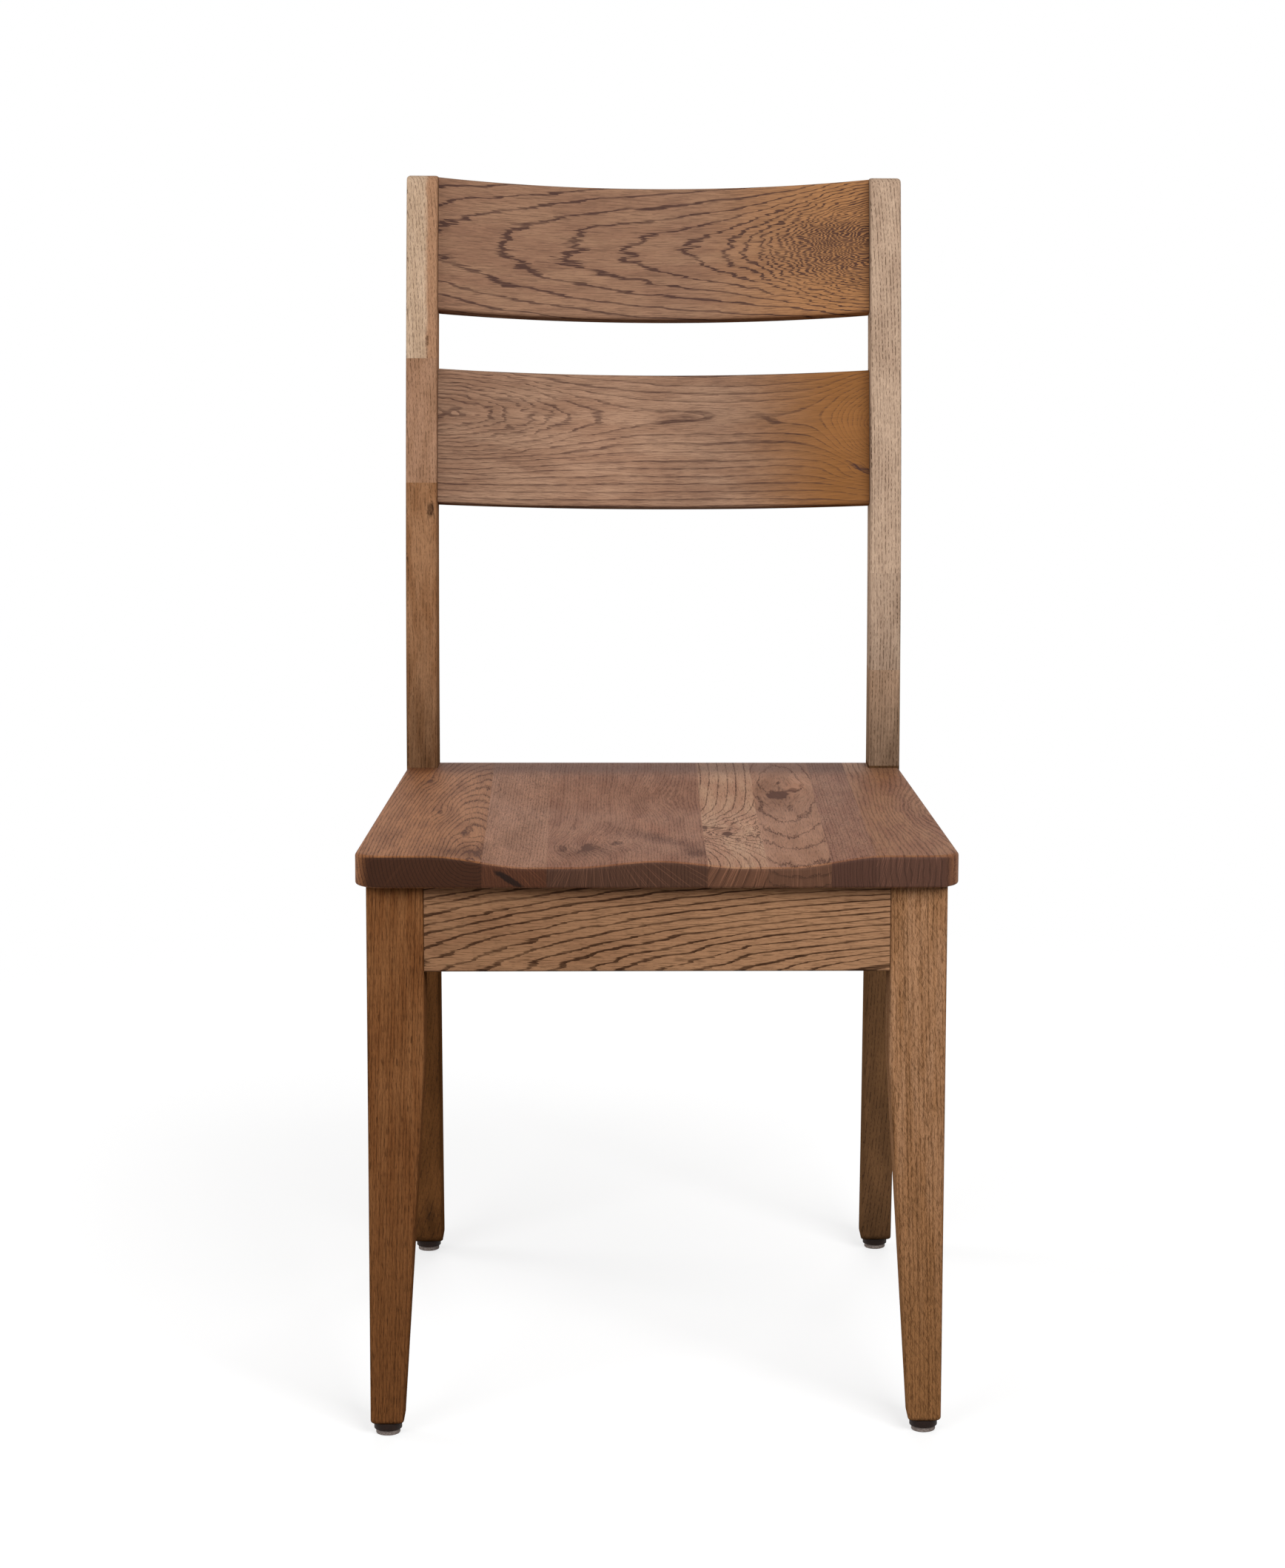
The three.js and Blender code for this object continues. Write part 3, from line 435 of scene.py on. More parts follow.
def end_grain(wood, board, place, phase, streaks, ragged):
    """Tone of the board's sawn ends, darker than its face: faint rings, pale rays that fan out
    from a centre, and the heart of a knot."""
    along, across, deep = place
    centre_across, centre_deep, spacing, strength = board.rays
    x, y = across - centre_across, deep - centre_deep
    angle = wood.math("ARCTAN2", x, y)
    fan = wood.joined(angle * (abs(centre_deep) / spacing), y / 40, along / 30)
    ray = wood.rise(wood.noise(fan, (0.42, 1, 1), board.seed + 23, 1.0), 0.57, 0.66)
    ringed = 1 - wood.rise(phase, 0.35, 0.0) * 0.42 + streaks * 0.3
    tone = wood.tint(linear(*board.end), ringed + ray * strength)
    if board.end_knot:
        *spot, depth = board.end_knot
        core = wood.hill(across, deep, *spot) + (ragged - 0.5) * 0.4
        tone = wood.mix(wood.rise(core, 0.3, 0.7) * depth, tone, linear(*KNOT_HEART))
    return tone


def oak(name, board):
    """Solid oak, cut as a board says."""
    wood = Finish(bpy.data.materials.new(name))
    seed = board.seed
    along, across, deep = (axis * 1000 for axis in wood.split(wood.board()))
    flowing = across
    for a, b, half_a, half_b, *_ in board.knots:
        hill = wood.hill(along, across, a, b, KNOT_FLOW * half_a, KNOT_FLOW * half_b)
        flowing = flowing - (across - b) * hill * KNOT_FLOW_SHARE
    for *_, start in board.lengths:
        flowing = flowing + wood.math("GREATER_THAN", along, start) * GLUED_SHIFT
    place = wood.joined(along, flowing, deep)
    phase, share = growth(wood, board, along, flowing, deep)

    long, wide = board.clouds
    clouds = wood.noise(place, (long, wide, wide), seed + 11, 3.0)
    ragged = wood.noise(place, RAGGED, seed + 17, 3.0)

    # Pores: packed in the band that starts a ring, and scattered between the bands.
    long, wide, always = board.pores
    packed = wood.rise(wood.noise(place, (long, wide, wide), seed + 3, 0.0), *PACKED_PORE)
    early = wood.rise(phase, 0.0, 0.04) * wood.rise(phase / share, 1.0, 0.7)
    early = early * (always + packed * (1 - always)) * (clouds * 1.8 + 0.1) * board.band_depth
    long, wide, depth = board.dashes
    loose = wood.rise(wood.noise(place, (long, wide, wide), seed + 5, 0.0), *LOOSE_PORE)
    sizes = long / 3, wide * 0.7, wide
    short = wood.rise(wood.noise(place, sizes, seed + 6, 0.0), *SHORT_PORE)
    loose = loose + short * 0.6 * (1 - loose)
    dark = early + loose * depth * (1 - early)
    for *spot, depth in board.stains:
        dark = dark + wood.hill(along, across, *spot) * ragged * (1.6 * depth)
    for *spot, depth, _ in board.knots:
        core = wood.hill(along, across, *spot) + (ragged - 0.5) * 0.9
        dark = dark + wood.rise(core, 0.35, 0.8) * depth
    dark = wood.math("MINIMUM", dark, DARKEST)

    # Tone: slow patches of two colours, with fine lighter and darker streaks, and spots: the
    # wood's pale patches, and also painted sheen and painted shade.
    streaks = wood.noise(place, STREAKS, seed + 7, 3.0) - 0.5
    shade = 1 + streaks * (2 * board.fibre)
    if board.late:
        shade = shade + (phase - 0.5) * board.late
    # painted sheen and painted shade come in here, with the wood's pale patches
    for *spot, share in board.glows:
        shade = shade + wood.hill(along, across, *spot) * share
    if board.flecks:
        turn, long, wide, strength = board.flecks
        slanted = wood.joined(
            along * math.cos(turn) + across * math.sin(turn),
            across * math.cos(turn) - along * math.sin(turn), deep)
        fleck = wood.noise(slanted, (long, wide, wide * 3), seed + 13, 1.0)
        shade = shade + wood.rise(fleck, 0.58, 0.68) * strength
    ground = ground_tone(wood, board, along, across, clouds, ragged)
    colour = wood.tint(wood.mix(dark, ground, linear(*board.pore)), shade)

    # The ends show where the surface faces the front or the back.
    if board.end:
        normal = wood.split(wood.node("ShaderNodeNewGeometry", output=1))
        facing = wood.rise(wood.math("ABSOLUTE", normal[1]), 0.55, 0.9)
        ends = end_grain(wood, board, (along, across, deep), phase, streaks, ragged)
        colour = wood.mix(facing, colour, ends)

    relief = wood.bump(1 - dark + streaks * 0.15, 0.1 * MM)
    roughness = OAK_ROUGHNESS + dark * 0.15 + (clouds - 0.5) * 0.1
    return wood.surface(colour, roughness, relief, specular=board.specular)


SLAT_PORE = (80, 58, 52)

TOP_SLAT_OAK = oak("top_slat_oak", Board(
    1.3, (154, 119, 95), (142, 107, 86), SLAT_PORE,
    pith=(2, -30.4), run=(0, 0.139), ring=8.5, wander=0.4, uneven=0.15,
    band=0.2, band_depth=1.0, pores=(10, 1.0, 0.75), dashes=(17, 0.5, 0.5), fibre=0.3,
    swells=((208, 1, 55, 42, -18), (150, 1, 60, 34, -4)), swell_band=0.4, swell_tear=0.4,
    drift=((172, 123, 81), 20, 185),
))
LOWER_SLAT_OAK = oak("lower_slat_oak", Board(
    4.7, (160, 127, 104), (143, 110, 89), SLAT_PORE,
    pith=(21, -12), ring=7.0, wander=0.5, uneven=0.4,
    band=0.22, band_depth=0.68, pores=(10, 0.8, 0.45), dashes=(15, 0.5, 0.5), fibre=0.26,
    swells=((-190, 21, 100, 40, -7), (214, 8, 40, 40, -12)), ripple=2, swell_band=0.12,
    calm=(60, 140), late=0.15,
    knots=((191, -28, 18, 3, -0.4, 1.0, 0),),
    stains=((22, 20, 20, 3, 0.5), (205, 0, 70, 90, -0.6)),
    # the broad round pale spot near the middle is a painted sheen
    glows=((-48, -8, 62, 62, 0.24), (170, 12, 22, 26, 0.15)),
    drift=((143, 97, 57), 50, 175),
))
FRONT_APRON_OAK = oak("front_apron_oak", Board(
    8.1, (148, 110, 81), (133, 96, 70), (58, 37, 25),
    pith=(-64, -60), run=(0, 0.18), ring=4.6, wander=0.5, uneven=0.4, tear=(3, 1.8),
    band=0.27, band_depth=0.95, pores=(9, 0.9, 0.75), dashes=(13, 0.7, 0.45), fibre=0.35,
    # painted light: the apron grows paler towards its right end
    drift=((160, 120, 89), -160, 170),
))
SIDE_APRON_OAK = oak("side_apron_oak", Board(
    12.9, (146, 108, 78), (130, 94, 66), (76, 52, 38),
    pith=(-55, -45), run=(0, 0.06), ring=5.0, tear=(3, 3),
))
REAR_APRON_OAK = oak("rear_apron_oak", Board(
    17.3, (150, 112, 82), (134, 98, 70), (76, 52, 38),
    pith=(-30, -40), run=(0, 0.1), ring=5.5,
))
LEG_OAK, POST_OAK = {}, {}
LEG_OAK["left"] = oak("left_leg_oak", Board(
    21.1, (132, 88, 54), (115, 72, 41), (48, 27, 14),
    pith=(90, -40), run=(0.03, 0), ring=2.6, tear=(0, 0), band=0.35, band_depth=0.45,
    pores=(9, 0.6, 0.3), dashes=(9, 0.5, 0.6), fibre=0.32, clouds=(90, 8),
    drift=((113, 72, 41), 330, 20),
))
LEG_OAK["right"] = oak("right_leg_oak", Board(
    25.5, (168, 126, 93), (151, 109, 75), (74, 47, 28),
    pith=(-70, -20), run=(-0.03, 0), ring=3.2, tear=(0, 0), band=0.4, band_depth=0.5,
    pores=(4, 0.7, 0.2), dashes=(4, 0.5, 0.6), fibre=0.4, clouds=(80, 8),
    flecks=(math.radians(-35), 24, 0.9, -0.22), drift=((139, 97, 61), 300, 20),
))
POST_OAK["left"] = oak("left_post_oak", Board(
    31.7, (127, 83, 47), (111, 72, 40), (64, 42, 28),
    pith=(-40, -30), run=(0.03, 0), ring=2.7, wander=0.9, uneven=0.2, tear=(0, 0), band=0.25,
    band_depth=0.5, pores=(2.6, 1.6, 0.1), dashes=(5, 0.7, 0.3), fibre=0.3, clouds=(60, 10),
    edge=((167, 127, 98), 1.5, 6.5, 820),
    lengths=(((157, 116, 84), (136, 95, 64), 455),
             ((165, 127, 101), (152, 115, 89), 711),
             ((197, 169, 143), (183, 155, 129), 820)),
    knots=((688, 8, 8, 4, 0.7, 2), (835, 5, 6, 1.5, 0.5, 1)),
    swells=((950, -4, 42, 9, 2.2), (560, 2, 26, 8, 2.0)), stains=((38, 2, 13, 5, 0.5),),
    # painted shade: these spots darken the post around the seat's height and at the foot
    glows=((456, 0, 95, 60, -0.5), (8, 0, 26, 60, -0.4)),
))
POST_OAK["right"] = oak("right_post_oak", Board(
    37.3, (121, 87, 58), (105, 75, 50), (66, 46, 32),
    pith=(-60, -10), run=(0.01, 0), ring=2.9, wander=0.5, uneven=0.2, tear=(0, 0), band=0.3,
    band_depth=0.62, pores=(3, 1.3, 0.1), dashes=(5, 0.6, 0.3), fibre=0.3, clouds=(60, 12),
    lengths=(((178, 146, 120), (160, 129, 104), 460),
             ((182, 156, 134), (166, 140, 119), 546),
             ((190, 163, 140), (176, 149, 127), 632)),
    swells=((590, 0, 30, 9, 1.6), (815, 4, 45, 9, 2.4)),
    # painted shade: these spots darken the post around the seat's height and at the foot
    glows=((448, 0, 92, 60, -0.54), (8, 0, 26, 60, -0.3)),
))

REAR_SHADE_SPAN = (400, 452)  # where painted shade darkens a stave towards the seat's rear edge
REAR_SHADE_SHARES = (0.7, 0.66, 0.64)  # what its pale tone keeps of red, green and blue in that painted shade


def stave_oak(number, seed, pale, deep, end, **figure):
    """A stave of the seat, with end grain at its front and rear edges, and painted shade that
    darkens it towards the rear edge.
    """
    # painted shade: the pale tone darkened for the seat's rear edge
    rear = tuple(share * tone for share, tone in zip(REAR_SHADE_SHARES, pale))
    settings = {
        "pore": (76, 46, 34), "dashes": (14, 1.0, 0.35), "pores": (6, 0.9, 0.4),
        "fibre": 0.35, "specular": 0.1, "end": end, "drift": (rear, *REAR_SHADE_SPAN),
    }
    return oak(f"stave_oak_{number}", Board(seed, pale, deep, **{**settings, **figure}))


# Each stave's end tone is its darker end grain, and partly painted shade too: darkest at the left
# end of the seat's front edge.
STAVE_OAK = {
    1: stave_oak(
        1, 41.1, (152, 101, 64), (132, 86, 54), (58, 33, 20),
        pith=(30, -4), run=(0, -0.085), ring=2.9, wander=0.3, uneven=0.2, tear=(3, 2),
        band=0.35, band_depth=0.8,
        knots=((378, -22, 14, 3.5, 0.8, 1), (208, -5, 14, 3, 0.6, 1), (111, 20, 14, 5, 0.6, 1)),
        stains=((54, 42, 34, 8, 1.0), (35, 30, 26, 9, 0.9), (28, 12, 20, 8, 0.6)),
        rays=(30, -60, 1.6, 0.2)),
    2: stave_oak(
        2, 43.3, (147, 103, 77), (134, 93, 68), (75, 44, 29),
        pith=(80, 10), ring=2.4, tear=(0, 0), band=0.4, band_depth=0.45, pores=(4, 0.8, 0.3),
        dashes=(7, 0.8, 0.55), flecks=(math.radians(-41), 45, 1.0, 0.25),
        rays=(-40, -40, 0.9, 0.5), end_knot=(-4, 18, 15, 3, 0.55, 0.9)),
    3: stave_oak(
        3, 47.9, (140, 95, 69), (126, 82, 58), (73, 48, 36),
        pith=(-150, 10), ring=2.6, wander=0.8, tear=(0, 0), band=0.4, band_depth=0.5,
        pores=(8, 0.8, 0.3), dashes=(12, 0.7, 0.45),
        swells=((330, 20, 60, 26, 5), (130, -20, 60, 30, 4)),
        knots=((92, -51, 20, 5, 0.6, 2), (96, -31, 24, 7, 0.8, 2.5), (112, -8, 16, 6, 0.6, 2),
               (195, -43, 14, 1.5, 0.5, 0)),
        stains=((130, 31, 64, 14, -0.48, 0.6), (74, -31, 26, 18, 0.6), (54, 54, 24, 9, 0.85)),
        glows=((180, 25, 85, 9, -0.3, 0.2), (143, -26, 30, 12, 0.15)),
        rays=(-27, -32, 0.9, 0.75)),
    4: stave_oak(
        4, 53.1, (167, 127, 97), (153, 109, 82), (93, 62, 46),
        pith=(-90, -20), ring=7.5, wander=0.2, uneven=0.2, tear=(2, 2), band=0.2,
        swells=((172, 0, 80, 90, 5.5),),
        knots=((167, -4, 12, 6, 0.95, 1), (199, -22, 9, 4, 0.85, 0), (195, -11, 7, 6, 0.6, 0)),
        glows=((215, 18, 30, 8, 0.15),), rays=(40, -80, 0.9, 0.75)),
    5: stave_oak(
        5, 59.7, (150, 106, 79), (133, 91, 65), (89, 60, 45),
        pith=(0, -49.4), run=(0, 0.16), ring=9.6, uneven=0.2, band=0.2, band_depth=0.85,
        knots=((338, -3, 18, 11, 1.0, 1.5), (352, 10, 9, 5, 0.6, 0)),
        stains=((325, -5, 60, 17, 0.55),), glows=((366, 13, 26, 9, 0.3),),
        rays=(0, -200, 1.1, 0.7)),
    6: stave_oak(
        6, 61.3, (136, 94, 70), (125, 82, 61), (75, 49, 39),
        pith=(80, 10), ring=2.4, tear=(0, 0), band=0.4, band_depth=0.6, pores=(3, 0.8, 0.2),
        dashes=(6, 0.8, 0.6), rays=(0, -200, 0.9, 0.3)),
    7: stave_oak(
        7, 67.9, (139, 95, 64), (125, 81, 55), (81, 54, 43),
        pith=(150, 10), ring=5.0, wander=0.7, uneven=0.3, tear=(3, 2), band=0.35,
        band_depth=0.65, swells=((205, 34, 120, 34, -6),), ripple=1,
        # over the span of the painted shade this stave takes a tone of its own instead
        drift=((132, 95, 70), *REAR_SHADE_SPAN), rays=(40, -200, 1.0, 0.85)),
}

# ---------------- other finishes


def block_oak():
    """Unfinished pale oak of the corner blocks, with fine streaks along their length."""
    wood = Finish(bpy.data.materials.new("block_oak"))
    place = wood.place()
    streaks = wood.noise(place, (0.03, 0.0012, 0.0012), 2.0, detail=3.0)
    clouds = wood.noise(place, (0.04, 0.02, 0.02), 5.0)
    colour = wood.mix(wood.rise(streaks, 0.35, 0.7), linear(178, 142, 103), linear(140, 104, 70))
    colour = wood.tint(colour, 0.85 + clouds * 0.3)
    return wood.surface(colour, 0.62 + streaks * 0.1, wood.bump(streaks, 0.1 * MM))


def brown_plastic():
    """Moulded dark brown polyethylene with a faint moulding grain."""
    cup = Finish(bpy.data.materials.new("brown_plastic"))
    place = cup.place()
    grain = cup.noise(place, (0.0006, 0.0006, 0.0006), 3.0, detail=3.0)
    scuffs = cup.noise(place, (0.004, 0.004, 0.0015), 9.0, detail=4.0)
    colour = cup.mix(cup.rise(scuffs, 0.45, 0.75), linear(29, 17, 12), linear(41, 26, 20))
    return cup.surface(colour, 0.45 + scuffs * 0.2, cup.bump(grain, 0.03 * MM), specular=0.15)


def grey_felt():
    """Pressed wool felt: flecked grey-brown fibres with a soft, uneven surface."""
    felt = Finish(bpy.data.materials.new("grey_felt"))
    place = felt.place()
    fibres = felt.noise(place, (0.0016, 0.0005, 0.0005), 4.0, detail=5.0, roughness=0.7)
    flecks = felt.noise(place, (0.0005, 0.0014, 0.0005), 8.0, detail=4.0, roughness=0.7)
    colour = felt.mix(felt.rise(fibres, 0.35, 0.65), linear(104, 90, 84), linear(164, 152, 146))
    colour = felt.tint(colour, 0.75 + flecks * 0.5)
    return felt.surface(colour, 0.95, felt.bump(fibres + flecks, 0.4 * MM), specular=0.1)


def zinc_steel():
    """Bright zinc plate with fine drawing lines."""
    steel = Finish(bpy.data.materials.new("zinc_steel"))
    lines = steel.noise(steel.place(), (0.0004, 0.0004, 0.006), 6.0, detail=3.0)
    colour = steel.mix(lines, linear(196, 198, 200), linear(160, 163, 168))
    relief = steel.bump(lines, 0.01 * MM)
    return steel.surface(colour, 0.28 + lines * 0.2, relief, specular=0.5, metallic=1.0)


# ---------------- surfaces

ARC_STEPS = 8
QUARTER = np.linspace(0, math.pi / 2, ARC_STEPS + 1)
HOLD = 0.8 * MM  # extra point on a flat, this far from the arc that ends it
LEG_STEP = 12 * MM  # spacing of the rings of points along a front leg
REAR_LEG_STEP = 8 * MM


def made(node, points, faces, board, finish, kind="oak", smooth_angle=42):
    """A finished piece from points and faces, in place of one CAD node. board gives each
    point's place in its board."""
    name = f"{node}_{kind}"
    mesh = bpy.data.meshes.new(name)
    mesh.from_pydata(points.tolist(), [], faces)
    places = mesh.attributes.new("board", "FLOAT_VECTOR", "POINT")
    places.data.foreach_set("vector", board.astype(np.float32).ravel())
    mesh.materials.append(finish)
    mesh.shade_smooth()
    mesh.set_sharp_from_angle(angle=math.radians(smooth_angle))
    mesh.validate()
    piece = bpy.data.objects.new(name, mesh)
    bpy.context.scene.collection.objects.link(piece)
    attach(piece, "root")
    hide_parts(node)


def section_rings(half_u, half_v, radius):
    """Rectangles with quarter-circle corners, anticlockwise: one row of points for each pair of
    half-sizes, or one for two numbers. Point = corner sign times (half-size less radius) plus
    radius times the arc's direction; a hold point stands before each arc and after it."""
    angle = np.arange(4)[:, None] * math.pi / 2 + QUARTER
    arc = radius * np.stack([np.cos(angle), np.sin(angle)], axis=-1)
    hold = HOLD * np.stack([-np.sin(angle), np.cos(angle)], axis=-1)
    offset = np.concatenate([arc[:, :1] - hold[:, :1], arc, arc[:, -1:] + hold[:, -1:]], axis=1)
    sign = np.array([[1, 1], [-1, 1], [-1, -1], [1, -1]])[:, None, :]
    sign = np.broadcast_to(sign, offset.shape).reshape(-1, 2)
    half = np.stack([half_u, half_v], axis=-1).reshape(-1, 1, 2) - radius
    return sign * half + offset.reshape(-1, 2)


def lofted(rings, x, y, z):
    """Points of level rings, each moved to its own place and height."""
    level = rings + np.stack([x, y], axis=-1)[:, None, :]
    height = np.broadcast_to(z[:, None, None], rings.shape[:2] + (1,))
    return np.concatenate([level, height], axis=-1).reshape(-1, 3)


def tube_faces(rings, count):
    """Quads between neighbouring rings of points, and one flat face at each end."""
    ring, point = np.meshgrid(np.arange(rings - 1), np.arange(count), indexing="ij")
    low = ring * count + point
    low_next = ring * count + (point + 1) % count
    quads = np.stack([low, low_next, low_next + count, low + count], axis=-1)
    first = list(range(count - 1, -1, -1))
    last = list(range((rings - 1) * count, rings * count))
    return quads.reshape(-1, 4).tolist() + [first, last]


def eased(distance, radius):
    """Inset of a rounded edge at a distance from it: a quarter circle."""
    short = np.clip(radius - distance, 0, radius)
    return radius - np.sqrt(radius**2 - short**2)


def levels(low, high, ease_low, ease_high, step):
    """Heights of a leg's rings: close together over its rounded ends, even between."""
    middle = np.linspace(low + ease_low, high - ease_high, 2 + round((high - low) / step))
    foot = low + ease_low * (1 - np.cos(QUARTER))
    head = high - ease_high * (1 - np.cos(QUARTER[::-1]))
    return np.concatenate([foot[:-1], middle, head[1:]])


# ---------------- legs


def front_leg(hand, side):
    """Square section flush outside and in front; its two inner faces taper to the foot."""
    taper_start = apron_bottom(FRONT_FACE) - TAPER_DROP
    z = levels(LEG_END, apron_top(FRONT_FACE), FOOT_EASE, FRONT_LEG_TOP_EASE, LEG_STEP)
    full = FRONT_OUTER - FRONT_INNER
    tapered = FRONT_FOOT + (full - FRONT_FOOT) * (z - LEG_END) / (taper_start - LEG_END)
    size = np.minimum(full, tapered)
    half = size / 2 - eased(z - LEG_END, FOOT_EASE)
    rings = section_rings(half, half, LEG_EDGE)
    points = lofted(rings, side * (FRONT_OUTER - size / 2), FRONT_FACE + size / 2, z)
    middle = side * (FRONT_OUTER + FRONT_INNER) / 2
    board = np.stack([points[:, 2], points[:, 0] - middle, points[:, 1] - FRONT_FACE], axis=-1)
    made(f"front_leg_{hand}", points, tube_faces(len(z), rings.shape[1]), board, LEG_OAK[hand])


def rear_leg(hand, side):
    """Section of the board's thickness by the leg's depth at each height, its front edge
    following the sawn curve; the grain runs straight up and the curve cuts across it. The
    finer curve is held to the CAD leg's rearmost point."""
    z = levels(LEG_END, BACK_TOP, REAR_LEG_CORNER, REAR_LEG_CORNER, REAR_LEG_STEP)
    end = np.minimum(z - LEG_END, BACK_TOP - z)
    half_x = (REAR_OUTER - REAR_INNER) / 2 - eased(end, REAR_LEG_EASE)
    half_y = rear_leg_depth(z) / 2 - eased(end, REAR_LEG_CORNER)
    rings = section_rings(half_x, half_y, LEG_EDGE)
    middle = side * (REAR_OUTER + REAR_INNER) / 2
    y = rear_leg_front(z) + rear_leg_depth(z) / 2
    points = lofted(rings, np.full_like(z, middle), y, z)
    node = f"rear_leg_{hand}"
    points[:, 1] = np.minimum(points[:, 1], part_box(node)[1].y)
    board = np.stack([points[:, 2], points[:, 0] - middle, points[:, 1] - REAR_FACE], axis=-1)
    made(node, points, tube_faces(len(z), rings.shape[1]), board, POST_OAK[hand])


# ---------------- aprons


def cross_apron(node, finish, half_length, y0, y1, z0, z1):
    """A rail with a rounded section, carried straight from leg to leg."""
    ring = section_rings((y1 - y0) / 2, (z1 - z0) / 2, APRON_EDGE)[0]
    ring = ring + np.array([(y0 + y1) / 2, (z0 + z1) / 2])
    points = np.concatenate(
        [np.column_stack([np.full(len(ring), x), ring]) for x in (-half_length, half_length)])
    board = np.column_stack(
        [points[:, 0], points[:, 2] - (z0 + z1) / 2, points[:, 1] - y0])
    made(node, points, tube_faces(2, len(ring)), board, finish)


def side_apron(hand, side):
    """A rail that falls with the seat and closes in slightly towards the back. Its rings go
    from back to front, so that its faces look outwards."""
    y = np.array([FRONT_FACE + (FRONT_OUTER - FRONT_INNER) + FIT, REAR_FACE - FIT])
    outer = np.array([FRONT_OUTER - APRON_SETBACK, REAR_OUTER - APRON_SETBACK])
    middle = np.stack([side * (outer - APRON_THICK / 2), apron_top(y) - APRON_HEIGHT / 2], axis=-1)
    rings = section_rings(APRON_THICK / 2, APRON_HEIGHT / 2, APRON_EDGE) + middle[:, None, :]
    points = np.stack(
        [rings[..., 0], np.broadcast_to(y[:, None], rings.shape[:2]), rings[..., 1]], axis=-1)
    points = points[::-1].reshape(-1, 3)
    board = np.column_stack([
        points[:, 1], points[:, 2] - middle[0, 1], side * (outer[0] - side * points[:, 0])])
    made(f"side_apron_{hand}", points, tube_faces(2, rings.shape[1]), board, SIDE_APRON_OAK)


# ---------------- back slats

SLAT_STEPS = 96
SLAT_BEND = (REAR_INNER**2 + SLAT_SAG**2) / (2 * SLAT_SAG)  # radius of the front face


def slat(node, top_edge, lean, finish):
    """Section carried round an arc: across = radius times sine of the angle, back = radius
    times its cosine, less the chord's distance; then the whole leans back about its middle.
    Each point's arc ends where it meets the leg, so the ends are flat. The finer arc is held to
    the CAD slat's rearmost point. Gives back the height of the slat's lower edge."""
    half_height = SLAT_HEIGHT / 2 * math.cos(lean)
    centre = top_edge - half_height
    section = section_rings(SLAT_THICK / 2, SLAT_HEIGHT / 2, SLAT_EDGE)[0]
    depth = section[:, 0] + SLAT_THICK / 2
    radius = SLAT_BEND + depth
    reach = np.arcsin((REAR_INNER - FIT) / radius)
    angle = np.linspace(-1, 1, SLAT_STEPS + 1)[:, None] * reach
    across = radius * np.sin(angle)
    back = radius * np.cos(angle) - (SLAT_BEND - SLAT_SAG)
    up = np.broadcast_to(section[:, 1], across.shape)
    y = rear_leg_front(centre) + SLAT_SETBACK + back * math.cos(lean) + up * math.sin(lean)
    z = centre - back * math.sin(lean) + up * math.cos(lean)
    y = np.minimum(y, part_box(node)[1].y)
    points = np.stack([across, y, z], axis=-1).reshape(-1, 3)
    board = np.stack([SLAT_BEND * angle, up, np.broadcast_to(depth, up.shape)], axis=-1)
    faces = tube_faces(SLAT_STEPS + 1, len(section))
    made(node, points, faces, board.reshape(-1, 3), finish)
    return centre - half_height


# ---------------- seat

SIDE_TAPER = (SEAT_HALF_FRONT - REAR_OUTER) / SEAT_REACH
SIDE_COSINE = 1 / math.hypot(1, SIDE_TAPER)
CORNER_Y = SEAT_FRONT + SEAT_CORNER
CORNER_X = SEAT_HALF_FRONT - SIDE_TAPER * SEAT_CORNER - SEAT_CORNER / SIDE_COSINE
NOTCH_X = REAR_INNER - FIT  # inner side of the notch round a rear leg
NOTCH_Y = REAR_FACE - FIT  # and its front

CORNER_STEPS = 28  # rows round the front corners,
RUN_STEPS = 63  # from there to the notches,
NOTCH_STEPS = 5  # and from there to the rear edge
COLUMN_WIDTH = 3.5 * MM
HAIR = 0.001 * MM


def smoothstep(value, start, end):
    """0 before start, 1 after end; between, 3 times the share's square less 2 times its cube."""
    share = np.clip((value - start) / (end - start), 0, 1)
    return share * share * (3 - 2 * share)


def seat_side(y):
    """Half-width of the seat between its straight sides."""
    return SEAT_HALF_FRONT - SIDE_TAPER * (y - SEAT_FRONT)


def seat_half(y):
    """Half-width of the seat: straight sides, with a quarter circle at each front corner."""
    ahead = np.clip(CORNER_Y - y, 0, SEAT_CORNER)
    arc = CORNER_X + np.sqrt(SEAT_CORNER**2 - ahead**2)
    return np.where(y < CORNER_Y, np.minimum(seat_side(y), arc), seat_side(y))


def edge_distance(x, y):
    """Distance in from the nearest of the front, rear and side edges and the corner arcs."""
    distance = np.minimum(y - SEAT_FRONT, SEAT_BACK - y)
    distance = np.minimum(distance, (seat_side(y) - np.abs(x)) * SIDE_COSINE)
    arc = SEAT_CORNER - np.hypot(np.abs(x) - CORNER_X, y - CORNER_Y)
    in_corner = (np.abs(x) > CORNER_X) & (y < CORNER_Y)
    return np.maximum(np.where(in_corner, np.minimum(distance, arc), distance), 0)


